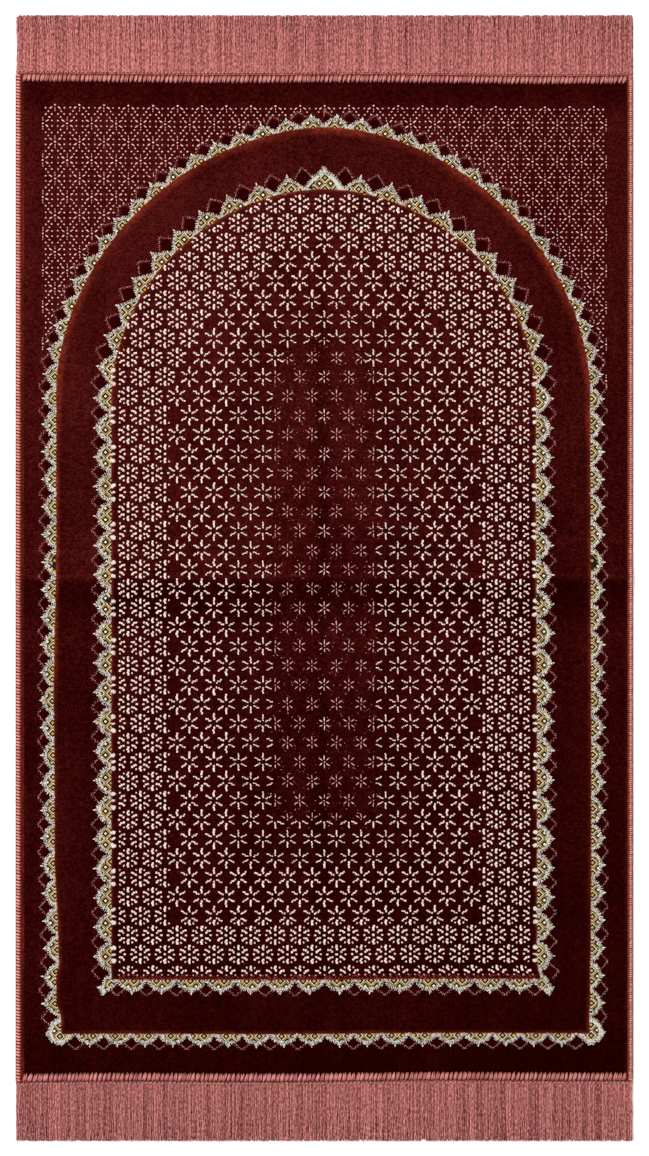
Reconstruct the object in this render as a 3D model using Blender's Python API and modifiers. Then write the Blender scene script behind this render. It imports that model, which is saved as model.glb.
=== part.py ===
"""Prayer rug, spread flat: pile cloth, overcast sides, whipped ends and a fringe at each end.

Metres, +Z up. The origin is on the floor under the middle of the rug, and +Y runs towards
the point of the woven niche. Every piece is made straight and flat first, and then laid
on the floor with the folds that the rug was stored in and the slight unevenness of its ends.
"""

import math
import random

import bmesh
import bpy
from mathutils import Vector

COLLECTION_NAME = "prayer_rug"
CUTTERS_NAME = "cutters"

# Clearance between two pieces that touch on the real rug.
GAP = 0.0003

# Pile cloth: half sizes of the pile, and its full thickness from the floor.
PILE_HALF_WIDTH = 0.3325
PILE_HALF_LENGTH = 0.5435
CLOTH_THICKNESS = 0.0050

# The cut pile is worn round at its edges: distance in from the edge, drop of the pile's top.
SHOULDER = (
    # inset, drop
    (0.0000, 0.0016),
    (0.0009, 0.0006),
    (0.0028, 0.0000),
)

# Ground weave, which runs out of the pile into the binding and the whipping.
GROUND_BOTTOM = 0.0016
GROUND_TOP = 0.0028

# Thread beads around the ground weave, at the sides and at the ends.
SIDE_BINDING_WIDTH = 0.0066
SIDE_BINDING_HEIGHT = 0.0054
END_WHIPPING_WIDTH = 0.0095
END_WHIPPING_HEIGHT = 0.0056
GRIP_SHARE = 0.68

# Round outside of a bead, from its inner foot up over the top, as shares of width and height.
BEAD_OUTLINE = (
    # across, up
    (0.88, 0.00),
    (1.00, 0.20),
    (1.00, 0.62),
    (0.82, 0.90),
    (0.50, 1.00),
    (0.16, 0.92),
    (0.00, 0.72),
)

# Fringe: the heading cord that joins the yarns, and the locks of yarn.
HEADING_WIDTH = 0.0024
HEADING_HEIGHT = 0.0034
LOCKS_PER_END = 130
LOCK_THICKNESS = 0.0022
LOCK_SPACING = 0.0005
LOCK_ROOT_RISE = 0.0006
LOCK_FALL = 0.0120
LOCK_UNEVENNESS = 0.0015
LOCK_SWAY = 0.0012
SWAY_WAVES = 3
FRINGE_TIP = 0.6188
FRINGE_SEED = 11

# Heading cord, as shares of its width and height.
HEADING_OUTLINE = (
    # across, up
    (0.00, 0.00),
    (1.00, 0.00),
    (1.00, 0.66),
    (0.72, 1.00),
    (0.28, 1.00),
    (0.00, 0.66),
)

# Lace bands, woven lower than the pile around the niche: each one runs outwards from a
# niche outline with straight sides and foot under an arch.
LACE_DEPTH = 0.0009
ARCH_POWER = 1.88
ARCH_STEPS = 28
LACE_BANDS = (
    # name, centre x, half width, arch centre y, foot y, band width
    ("outer", -0.0012, 0.2920, 0.2046, -0.5010, 0.0135),
    ("inner", 0.0000, 0.2336, 0.1958, -0.4400, 0.0160),
)

# Folds that the rug was stored in: one across it and a softer one along it.
FOLD_ACROSS_Y = -0.0020
FOLD_ACROSS_HEIGHT = 0.0018
FOLD_ACROSS_REACH = 0.0200
FOLD_ALONG_X = -0.0027
FOLD_ALONG_HEIGHT = 0.0010
FOLD_ALONG_REACH = 0.0240
FOLD_ALONG_FULL = 0.4200
FOLD_ALONG_END = 0.5100
FOLD_STATIONS = (-1.0, -0.5, 0.0, 0.5, 1.0)

# Unevenness of the ends: the left side is longer and the right side shorter by this share of
# their length, and both ends wave slightly, with a turn of the wave from end to end.
SIDE_LENGTH_EXCESS = 0.0017
END_WAVE = 0.0006
END_WAVE_LENGTH = 0.3600
END_WAVE_TURN = 1.2000

# Spacing of the stations that let long pieces follow the folds and waves, and the least
# distance from one to the next.
STATION_SPACING = 0.0600
STATION_CLEARANCE = 0.0180

# Points of a filled curve closer than this are one point.
WELD_DISTANCE = 0.00001

# Colours are linear RGB.
FINISHES = {
    # name: (colour, roughness)
    "pile": ((0.045, 0.0045, 0.0035), 0.95),
    "binding_thread": ((0.337, 0.095, 0.076), 0.60),
    "whipping_thread": ((0.440, 0.150, 0.138), 0.60),
    "fringe_yarn": ((0.392, 0.122, 0.112), 0.65),
}

SIDE_BINDING_INNER = PILE_HALF_WIDTH + GAP
RUG_HALF_WIDTH = SIDE_BINDING_INNER + SIDE_BINDING_WIDTH
WHIPPING_INNER = PILE_HALF_LENGTH + GAP
WHIPPING_OUTER = WHIPPING_INNER + END_WHIPPING_WIDTH
HEADING_INNER = WHIPPING_OUTER + GAP
HEADING_OUTER = HEADING_INNER + HEADING_WIDTH
GROUND_HALF_WIDTH = SIDE_BINDING_INNER + GRIP_SHARE * SIDE_BINDING_WIDTH - GAP
GROUND_HALF_LENGTH = WHIPPING_INNER + GRIP_SHARE * END_WHIPPING_WIDTH - GAP


def clear_scene():
    """Remove what the scene holds."""
    for item in list(bpy.data.objects):
        bpy.data.objects.remove(item, do_unlink=True)


def make_collection(name):
    """Add a collection to the scene."""
    group = bpy.data.collections.new(name)
    bpy.context.scene.collection.children.link(group)
    return group


def make_material(name):
    """Make one finish of the rug from its colour and roughness."""
    colour, roughness = FINISHES[name]
    material = bpy.data.materials.new(name)
    material.use_nodes = True
    shader = material.node_tree.nodes["Principled BSDF"]
    shader.inputs["Base Color"].default_value = (*colour, 1.0)
    shader.inputs["Roughness"].default_value = roughness
    shader.inputs["Metallic"].default_value = 0.0
    material.diffuse_color = (*colour, 1.0)
    return material


def swell(share):
    """Smooth hump: 1 at the middle of a fold, 0 from its edges on."""
    if abs(share) >= 1.0:
        return 0.0
    return (1.0 - share * share) ** 2


def ramp(value, start, end):
    """Share of the way from start to end, kept between 0 and 1."""
    return min(1.0, max(0.0, (value - start) / (end - start)))


def fold_lift(x, y):
    """Height that the two storage folds lift the cloth off the floor."""
    across = FOLD_ACROSS_HEIGHT * swell((y - FOLD_ACROSS_Y) / FOLD_ACROSS_REACH)
    along = FOLD_ALONG_HEIGHT * swell((x - FOLD_ALONG_X) / FOLD_ALONG_REACH)
    fade = 1.0 - ramp(abs(y), FOLD_ALONG_FULL, FOLD_ALONG_END)
    return across + along * fade


def end_shift(x, y):
    """Lengthwise shift that makes the rug's ends as uneven as they are."""
    longer = -SIDE_LENGTH_EXCESS * y * x / PILE_HALF_WIDTH
    share = min(1.0, abs(y) / PILE_HALF_LENGTH) ** 3
    turn = 2.0 * math.pi * x / END_WAVE_LENGTH + END_WAVE_TURN * y
    wave = END_WAVE * math.sin(turn)
    loose = ramp(abs(y), HEADING_OUTER, FRINGE_TIP - LOCK_UNEVENNESS)
    return (longer + wave * share) * (1.0 - loose)


def lay_down(mesh):
    """Move the points of a straight, flat piece to where they lie on the floor."""
    for vertex in mesh.vertices:
        x, y, z = vertex.co
        vertex.co = Vector((x, y + end_shift(x, y), z + fold_lift(x, y)))


def stations(half_length, fold_place, fold_reach):
    """Places where a long piece may bend: its ends, its worn edges, its fold and between."""
    places = {fold_place + share * fold_reach for share in FOLD_STATIONS}
    for inset, drop in SHOULDER:
        places.update((inset - half_length, half_length - inset))
    spans = math.ceil(half_length / STATION_SPACING)
    for index in range(-spans, spans + 1):
        place = index * half_length / spans
        if min(abs(place - other) for other in places) > STATION_CLEARANCE:
            places.add(place)
    return places


def width_stations(*extra):
    """Stations across the rug, with any further ones that a piece needs."""
    return sorted(stations(PILE_HALF_WIDTH, FOLD_ALONG_X, FOLD_ALONG_REACH).union(extra))


def length_stations(*extra):
    """Stations along the rug, with any further ones that a piece needs."""
    return sorted(stations(PILE_HALF_LENGTH, FOLD_ACROSS_Y, FOLD_ACROSS_REACH).union(extra))


def mesh_from(edit, name):
    """Turn an edit mesh into a mesh whose faces point outwards."""
    bmesh.ops.recalc_face_normals(edit, faces=edit.faces)
    mesh = bpy.data.meshes.new(name)
    edit.to_mesh(mesh)
    edit.free()
    return mesh


def add_object(name, mesh, group):
    """Add a named object with its mesh to a collection."""
    item = bpy.data.objects.new(name, mesh)
    group.objects.link(item)
    return item


def mark_cutter(item):
    """Show an object as a guide that isn't part of the rug."""
    item.hide_render = True
    item.display_type = "WIRE"


def take_evaluated_mesh(item, name):
    """Read the mesh that an object's modifiers or curve settings make."""
    graph = bpy.context.evaluated_depsgraph_get()
    return bpy.data.meshes.new_from_object(item.evaluated_get(graph), depsgraph=graph)


def add_bar(edit, section, places, along_y):
    """Add a closed bar: a flat section pulled through each place in turn."""
    def point(across, up, place):
        return Vector((across, place, up)) if along_y else Vector((place, across, up))

    corners = [edit.verts.new(point(across, up, places[0])) for across, up in section]
    face = edit.faces.new(corners)
    for index, (start, end) in enumerate(zip(places, places[1:])):
        pulled = bmesh.ops.extrude_face_region(edit, geom=[face])["geom"]
        if index > 0:
            bmesh.ops.delete(edit, geom=[face], context="FACES_ONLY")
        face = next(part for part in pulled if isinstance(part, bmesh.types.BMFace))
        step = point(0.0, 0.0, end) - point(0.0, 0.0, start)
        bmesh.ops.translate(edit, verts=list(face.verts), vec=step)


def add_slab(name, xs, ys, bottom, top, group):
    """Make a slab of even thickness on a grid with its lines at the given places."""
    edit = bmesh.new()
    bmesh.ops.create_grid(edit, x_segments=len(xs) - 1, y_segments=len(ys) - 1, size=0.5)
    for vertex in edit.verts:
        column = round((vertex.co.x + 0.5) * (len(xs) - 1))
        row = round((vertex.co.y + 0.5) * (len(ys) - 1))
        vertex.co = Vector((xs[column], ys[row], bottom))
    slab = add_object(name, mesh_from(edit, name), group)
    thickness = slab.modifiers.new("thickness", "SOLIDIFY")
    thickness.thickness = top - bottom
    thickness.offset = 1.0
    return slab


def shoulder_drop(x, y):
    """How far the pile's top is worn down near its edges."""
    inset = min(PILE_HALF_WIDTH - abs(x), PILE_HALF_LENGTH - abs(y))
    for (near, high), (far, low) in zip(SHOULDER, SHOULDER[1:]):
        if inset <= far:
            return high + (low - high) * ramp(inset, near, far)
    return 0.0


def arch_point(angle, centre_x, half_width, centre_y):
    """Point of the arch, a little straighter on its flanks than a half circle."""
    power = 2.0 / ARCH_POWER
    across = math.copysign(abs(math.cos(angle)) ** power, math.cos(angle))
    up = abs(math.sin(angle)) ** power
    return centre_x + half_width * across, centre_y + half_width * up


def niche_outline(centre_x, half_width, centre_y, foot_y):
    """Closed outline of a niche: foot, straight sides and arch."""
    points = [(centre_x - half_width, foot_y), (centre_x + half_width, foot_y)]
    for step in range(ARCH_STEPS + 1):
        angle = math.pi * step / ARCH_STEPS
        points.append(arch_point(angle, centre_x, half_width, centre_y))
    return points


def lace_cutter(name, centre_x, half_width, centre_y, foot_y, band, cutters):
    """Make the solid that sinks one lace band into the pile."""
    curve = bpy.data.curves.new(name, "CURVE")
    curve.dimensions = "2D"
    curve.fill_mode = "BOTH"
    curve.extrude = LACE_DEPTH
    for extra in (0.0, band):
        outline = niche_outline(centre_x, half_width + extra, centre_y, foot_y - extra)
        spline = curve.splines.new("POLY")
        spline.points.add(len(outline) - 1)
        for point, (x, y) in zip(spline.points, outline):
            point.co = (x, y, 0.0, 1.0)
        spline.use_cyclic_u = True
    guide = add_object(name + "_outline", curve, cutters)
    guide.location.z = CLOTH_THICKNESS
    bpy.context.view_layer.update()
    mesh = take_evaluated_mesh(guide, name)
    edit = bmesh.new()
    edit.from_mesh(mesh)
    bmesh.ops.remove_doubles(edit, verts=edit.verts, dist=WELD_DISTANCE)
    bpy.data.meshes.remove(mesh)
    cutter = add_object(name, mesh_from(edit, name), cutters)
    cutter.matrix_world = guide.matrix_world
    bpy.data.objects.remove(guide, do_unlink=True)
    mark_cutter(cutter)
    return cutter


def combine(item, other, operation):
    """Join another solid to an object, or cut it out."""
    step = item.modifiers.new(operation.lower(), "BOOLEAN")
    step.operation = operation
    step.object = other
    step.solver = "EXACT"


def finish(item, name, material, group):
    """Apply a piece's modifiers, lay it on the floor and give it its material."""
    mesh = take_evaluated_mesh(item, name)
    bpy.data.objects.remove(item, do_unlink=True)
    edit = bmesh.new()
    edit.from_mesh(mesh)
    bmesh.ops.triangulate(edit, faces=edit.faces)
    edit.to_mesh(mesh)
    edit.free()
    lay_down(mesh)
    mesh.materials.clear()
    mesh.materials.append(material)
    mesh.name = name
    return add_object(name, mesh, group)


def make_cloth(material, group, cutters):
    """Pile cloth on its ground weave, with the two lace bands sunk into the pile."""
    pile = add_slab(
        "pile", width_stations(), length_stations(), 0.0, CLOTH_THICKNESS, group
    )
    bpy.context.view_layer.update()
    pile.data = take_evaluated_mesh(pile, "pile")
    pile.modifiers.clear()
    for vertex in pile.data.vertices:
        if vertex.co.z > 0.5 * CLOTH_THICKNESS:
            vertex.co.z -= shoulder_drop(vertex.co.x, vertex.co.y)

    for name, *sizes in LACE_BANDS:
        combine(pile, lace_cutter(name + "_lace_band", *sizes, cutters), "DIFFERENCE")
    xs = width_stations(-GROUND_HALF_WIDTH, GROUND_HALF_WIDTH)
    ys = length_stations(-GROUND_HALF_LENGTH, GROUND_HALF_LENGTH)
    ground = add_slab("ground_weave", xs, ys, GROUND_BOTTOM, GROUND_TOP, cutters)
    mark_cutter(ground)
    combine(pile, ground, "UNION")
    bpy.context.view_layer.update()
    return finish(pile, "rug_cloth", material, group)


def gripping_section(inner, width, height, side):
    """Section of a thread bead with a slot for the ground weave, inner face at inner."""
    slot = GRIP_SHARE * width
    low = GROUND_BOTTOM - GAP
    high = GROUND_TOP + GAP
    section = [(0.0, 0.0)]
    section += [(share * width, rise * height) for share, rise in BEAD_OUTLINE]
    section += [(0.0, high), (slot, high), (slot, low), (0.0, low)]
    return [(side * (inner + across), up) for across, up in section]


def make_side_binding(side, name, material, group):
    """Overcast bead along one side of the cloth."""
    edit = bmesh.new()
    section = gripping_section(SIDE_BINDING_INNER, SIDE_BINDING_WIDTH, SIDE_BINDING_HEIGHT, side)
    places = length_stations(-WHIPPING_OUTER, WHIPPING_OUTER)
    add_bar(edit, section, places, along_y=True)
    return finish(add_object(name, mesh_from(edit, name), group), name, material, group)


def make_end_whipping(side, name, material, group):
    """Whipped bead across one end of the cloth."""
    edit = bmesh.new()
    section = gripping_section(WHIPPING_INNER, END_WHIPPING_WIDTH, END_WHIPPING_HEIGHT, side)
    add_bar(edit, section, width_stations(), along_y=False)
    return finish(add_object(name, mesh_from(edit, name), group), name, material, group)


def add_lock(edit, side, x, width, tip):
    """Add one lock of yarn: out of the heading, down to the floor and level to its tip."""
    root = HEADING_INNER + 0.5 * HEADING_WIDTH
    rest = HEADING_OUTER + LOCK_FALL
    half = 0.5 * width
    section = [(x - half, 0.0), (x + half, 0.0), (x + half, LOCK_THICKNESS), (x - half, LOCK_THICKNESS)]
    corners_before = set(edit.verts)
    add_bar(edit, section, [side * place for place in (root, rest, tip)], along_y=True)
    sway = LOCK_SWAY * math.sin(SWAY_WAVES * math.pi * x / RUG_HALF_WIDTH)
    for vertex in set(edit.verts) - corners_before:
        vertex.co.z += LOCK_ROOT_RISE * (1.0 - ramp(abs(vertex.co.y), root, rest))
        vertex.co.x += sway * ramp(abs(vertex.co.y), rest, FRINGE_TIP)


def make_fringe(side, name, material, group, cutters):
    """Heading cord with its locks of yarn, beyond one end of the cloth."""
    pitch = 2.0 * RUG_HALF_WIDTH / LOCKS_PER_END
    chance = random.Random(FRINGE_SEED + side)
    shortfalls = [chance.uniform(0.0, LOCK_UNEVENNESS) for lock in range(LOCKS_PER_END)]
    longest = min(shortfalls)

    locks = bmesh.new()
    for index, shortfall in enumerate(shortfalls):
        x = (index + 0.5) * pitch - RUG_HALF_WIDTH
        add_lock(locks, side, x, pitch - LOCK_SPACING, FRINGE_TIP - (shortfall - longest))
    yarns = add_object(name + "_locks", mesh_from(locks, name + "_locks"), cutters)
    mark_cutter(yarns)

    edit = bmesh.new()
    section = [
        (side * (HEADING_INNER + share * HEADING_WIDTH), rise * HEADING_HEIGHT)
        for share, rise in HEADING_OUTLINE
    ]
    add_bar(edit, section, width_stations(-RUG_HALF_WIDTH, RUG_HALF_WIDTH), along_y=False)
    heading = add_object(name + "_heading", mesh_from(edit, name + "_heading"), group)
    combine(heading, yarns, "UNION")
    bpy.context.view_layer.update()
    return finish(heading, name, material, group)


def build_rug():
    """Make every piece of the rug."""
    clear_scene()
    group = make_collection(COLLECTION_NAME)
    cutters = make_collection(CUTTERS_NAME)
    finishes = {name: make_material(name) for name in FINISHES}

    make_cloth(finishes["pile"], group, cutters)
    for side, name in ((-1, "side_binding_left"), (1, "side_binding_right")):
        make_side_binding(side, name, finishes["binding_thread"], group)
    for side, name in ((1, "end_whipping_top"), (-1, "end_whipping_bottom")):
        make_end_whipping(side, name, finishes["whipping_thread"], group)
    for side, name in ((1, "fringe_top"), (-1, "fringe_bottom")):
        make_fringe(side, name, finishes["fringe_yarn"], group, cutters)


build_rug()
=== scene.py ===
"""Finished look of a pile prayer rug with a woven niche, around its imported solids.

Metres, +Z up. The origin is on the floor under the middle of the rug, and +Y runs towards
the point of the niche. Every piece is made straight and flat, and then laid on the floor
with the folds that the rug was stored in and the slight unevenness of its ends.
"""

import logging
import math
from dataclasses import dataclass, field
from enum import Enum

import bmesh
import bpy
import numpy as np
from bpy.types import Material, Mesh, Node, NodeSocket, NodeTree, Object
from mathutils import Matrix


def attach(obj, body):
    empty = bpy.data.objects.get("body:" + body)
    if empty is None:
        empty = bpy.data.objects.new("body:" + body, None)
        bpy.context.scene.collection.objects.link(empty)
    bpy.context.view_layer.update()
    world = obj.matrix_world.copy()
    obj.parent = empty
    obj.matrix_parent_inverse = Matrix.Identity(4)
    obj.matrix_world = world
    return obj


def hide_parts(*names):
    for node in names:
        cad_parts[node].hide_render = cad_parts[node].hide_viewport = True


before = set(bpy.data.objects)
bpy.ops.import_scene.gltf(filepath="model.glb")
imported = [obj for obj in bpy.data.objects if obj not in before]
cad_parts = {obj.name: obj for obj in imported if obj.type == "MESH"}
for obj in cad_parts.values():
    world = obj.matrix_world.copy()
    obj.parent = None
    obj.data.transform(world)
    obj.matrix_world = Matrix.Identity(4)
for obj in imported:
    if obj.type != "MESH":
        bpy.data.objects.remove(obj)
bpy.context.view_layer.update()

LOG = logging.getLogger("prayer_rug")

Point = tuple[float, float]
Colour = tuple[float, float, float]
Size = tuple[float, float, float]
Pair = tuple[float, float]
Table = tuple[tuple[float, ...], ...]

# Clearance between two pieces, and the rug's own sizes, as its solids have them.
GAP = 0.0003
PILE_HALF_WIDTH = 0.3325
PILE_HALF_LENGTH = 0.5435
PILE_TOP = 0.0050
SIDE_BINDING_WIDTH = 0.0066
END_WHIPPING_WIDTH = 0.0095
HEADING_WIDTH = 0.0024
FRINGE_TIP = 0.6188
FRINGE_UNEVENNESS = 0.0015
SIDE_BINDING_INNER = PILE_HALF_WIDTH + GAP
RUG_HALF_WIDTH = SIDE_BINDING_INNER + SIDE_BINDING_WIDTH
WHIPPING_INNER = PILE_HALF_LENGTH + GAP
WHIPPING_OUTER = WHIPPING_INNER + END_WHIPPING_WIDTH
HEADING_INNER = WHIPPING_OUTER + GAP
HEADING_OUTER = HEADING_INNER + HEADING_WIDTH

# Folds that the rug was stored in: one across it and a softer one along it.
FOLD_ACROSS_Y = -0.0020
FOLD_ACROSS_HEIGHT = 0.0018
FOLD_ACROSS_REACH = 0.0200
FOLD_ALONG_X = -0.0027
FOLD_ALONG_HEIGHT = 0.0010
FOLD_ALONG_REACH = 0.0240
FOLD_ALONG_FULL = 0.4200
FOLD_ALONG_END = 0.5100

# Unevenness of the ends: the left side is longer, and both ends wave slightly.
SIDE_LENGTH_EXCESS = 0.0017
END_WAVE = 0.0006
END_WAVE_LENGTH = 0.3600
END_WAVE_TURN = 1.2000

# Sideways drift of the lace as it was woven: the line that drifts most, and then for heights
# of the rug, from the foot up, how far it drifts.
DRIFT_REACH = 0.0400
DRIFTS = ((-0.2948, ((-0.4970, 0.0055), (-0.4360, 0.0034), (-0.3740, 0.0016), (-0.3120, -0.0019),
                     (-0.1890, -0.0020), (-0.1280, -0.0030), (-0.0660, -0.0018),
                     (-0.0040, -0.0003), (0.0500, 0.0))),
          (0.2400, ((-0.1200, 0.0), (-0.0600, -0.0004), (0.0600, -0.0013), (0.2000, -0.0010),
                    (0.3000, 0.0))),
          (0.2920, ((-0.4820, -0.0011), (-0.4050, 0.0006), (-0.3200, 0.0011), (-0.1900, 0.0012),
                    (-0.0500, 0.0005), (0.0400, 0.0005), (0.1800, -0.0002))))

# The same round the top of the outer arch: how far, from and to which height, and the middle
# and half width of the strip that drifts, as shares of the niche.
APEX_DRIFT = (0.0011, 0.2600, 0.4500, 1.0350, 0.0700)

# The same along the two feet: the stretch of the rug's length where it starts, is full from, is
# full to and ends, how far out it reaches, and then for places across the rug its size.
FOOT_DRIFTS = (((-0.4250, -0.4370, -0.4680, -0.4780), (0.2550, 0.2800),
                ((-0.2340, 0.0003), (0.0, 0.0006), (0.2340, 0.0036))),
               ((-0.4860, -0.4980, -0.5240, -0.5360), (0.3120, 0.3300),
                ((-0.2950, 0.0055), (0.2920, -0.0004))))

# Height of the photograph's frame, and the size that one of its pixels has on the rug.
PHOTO_HEIGHT = 1156
PIXEL = 0.0011

# A millimetre, in which the flowers' strokes are charted.
MM = 0.001


class Slot(Enum):
    """Material slots of the rug's record."""

    PILE = "pile"
    BINDING = "binding_thread"
    WHIPPING = "whipping_thread"
    FRINGE = "fringe_yarn"
    CREAM = "cream_yarn"
    GOLD = "gold_yarn"
    DARK = "dark_yarn"
    PINK = "pink_yarn"


def swell(share: np.ndarray) -> np.ndarray:
    """Smooth hump: 1 at the middle of a fold, 0 from its edges on."""
    return np.where(np.abs(share) < 1.0, (1.0 - share * share) ** 2, 0.0)


def ramp(value: np.ndarray, start: float, end: float) -> np.ndarray:
    """Share of the way from start to end, kept between 0 and 1."""
    return np.clip((value - start) / (end - start), 0.0, 1.0)


def fold_lift(x: np.ndarray, y: np.ndarray) -> np.ndarray:
    """Height that the two storage folds lift the cloth off the floor."""
    across = FOLD_ACROSS_HEIGHT * swell((y - FOLD_ACROSS_Y) / FOLD_ACROSS_REACH)
    along = FOLD_ALONG_HEIGHT * swell((x - FOLD_ALONG_X) / FOLD_ALONG_REACH)
    return across + along * (1.0 - ramp(np.abs(y), FOLD_ALONG_FULL, FOLD_ALONG_END))


def end_shift(x: np.ndarray, y: np.ndarray) -> np.ndarray:
    """Lengthwise shift that makes the rug's ends as uneven as they are."""
    longer = -SIDE_LENGTH_EXCESS * y * x / PILE_HALF_WIDTH
    share = np.minimum(1.0, np.abs(y) / PILE_HALF_LENGTH) ** 3
    wave = END_WAVE * np.sin(2.0 * math.pi * x / END_WAVE_LENGTH + END_WAVE_TURN * y)
    loose = ramp(np.abs(y), HEADING_OUTER, FRINGE_TIP - FRINGE_UNEVENNESS)
    return (longer + wave * share) * (1.0 - loose)


def side_shift(x: np.ndarray, y: np.ndarray) -> np.ndarray:
    """Crosswise shift where the lace drifts."""
    shift = np.zeros_like(x)
    for line, drift in DRIFTS:
        shift += np.interp(y, *zip(*drift)) * swell((x - line) / DRIFT_REACH)
    most, low, high, middle, half = APEX_DRIFT
    around = swell((OUTER_NICHE.size_at(x, y) - middle) / half)
    shift += most * ramp(y, low, high) * around
    for (start, full, last, end), reach, sizes in FOOT_DRIFTS:
        share = ramp(y, start, full) * (1.0 - ramp(y, last, end))
        across = np.interp(x, *zip(*sizes)) * (1.0 - ramp(np.abs(x), *reach))
        shift += share * (across - shift)
    return shift


def lay_down(mesh: Mesh) -> None:
    """Move the points of a straight, flat piece to where they lie on the floor.

    Args:
        mesh: The piece's mesh, made flat, in the rug's frame.
    """
    points = np.empty(len(mesh.vertices) * 3, dtype=np.float32)
    mesh.vertices.foreach_get("co", points)
    x, y, z = points.reshape(-1, 3).astype(float).T
    laid = np.stack((x + side_shift(x, y), y + end_shift(x, y), z + fold_lift(x, y)), axis=1)
    mesh.vertices.foreach_set("co", laid.astype(np.float32).ravel())
    mesh.update()


def new_object(name: str, data: bpy.types.ID) -> Object:
    """Put an object into the scene."""
    thing = bpy.data.objects.new(name, data)
    bpy.context.scene.collection.objects.link(thing)
    return thing


# --- Node trees ---

class Value:
    """What a node gives out. Numbers are reckoned with in the same way as plain ones."""

    def __init__(self, bench: "Bench", socket: NodeSocket) -> None:
        """Hold an output of a bench's tree."""
        self.bench = bench
        self.socket = socket

    def __add__(self, other: object) -> "Value":
        """Add a number to it."""
        return self.bench.math("ADD", self, other)

    def __sub__(self, other: object) -> "Value":
        """Take a number off it."""
        return self.bench.math("SUBTRACT", self, other)

    def __rsub__(self, other: object) -> "Value":
        """Take it off a number."""
        return self.bench.math("SUBTRACT", other, self)

    def __mul__(self, other: object) -> "Value":
        """Multiply it by a number."""
        return self.bench.math("MULTIPLY", self, other)

    def __truediv__(self, other: object) -> "Value":
        """Divide it by a number."""
        return self.bench.math("DIVIDE", self, other)

    def __rtruediv__(self, other: object) -> "Value":
        """Divide a number by it."""
        return self.bench.math("DIVIDE", other, self)

    def __pow__(self, other: object) -> "Value":
        """Raise it to a power."""
        return self.bench.math("POWER", self, other)

    def __abs__(self) -> "Value":
        """Leave its sign off."""
        return self.bench.math("ABSOLUTE", self)


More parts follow.
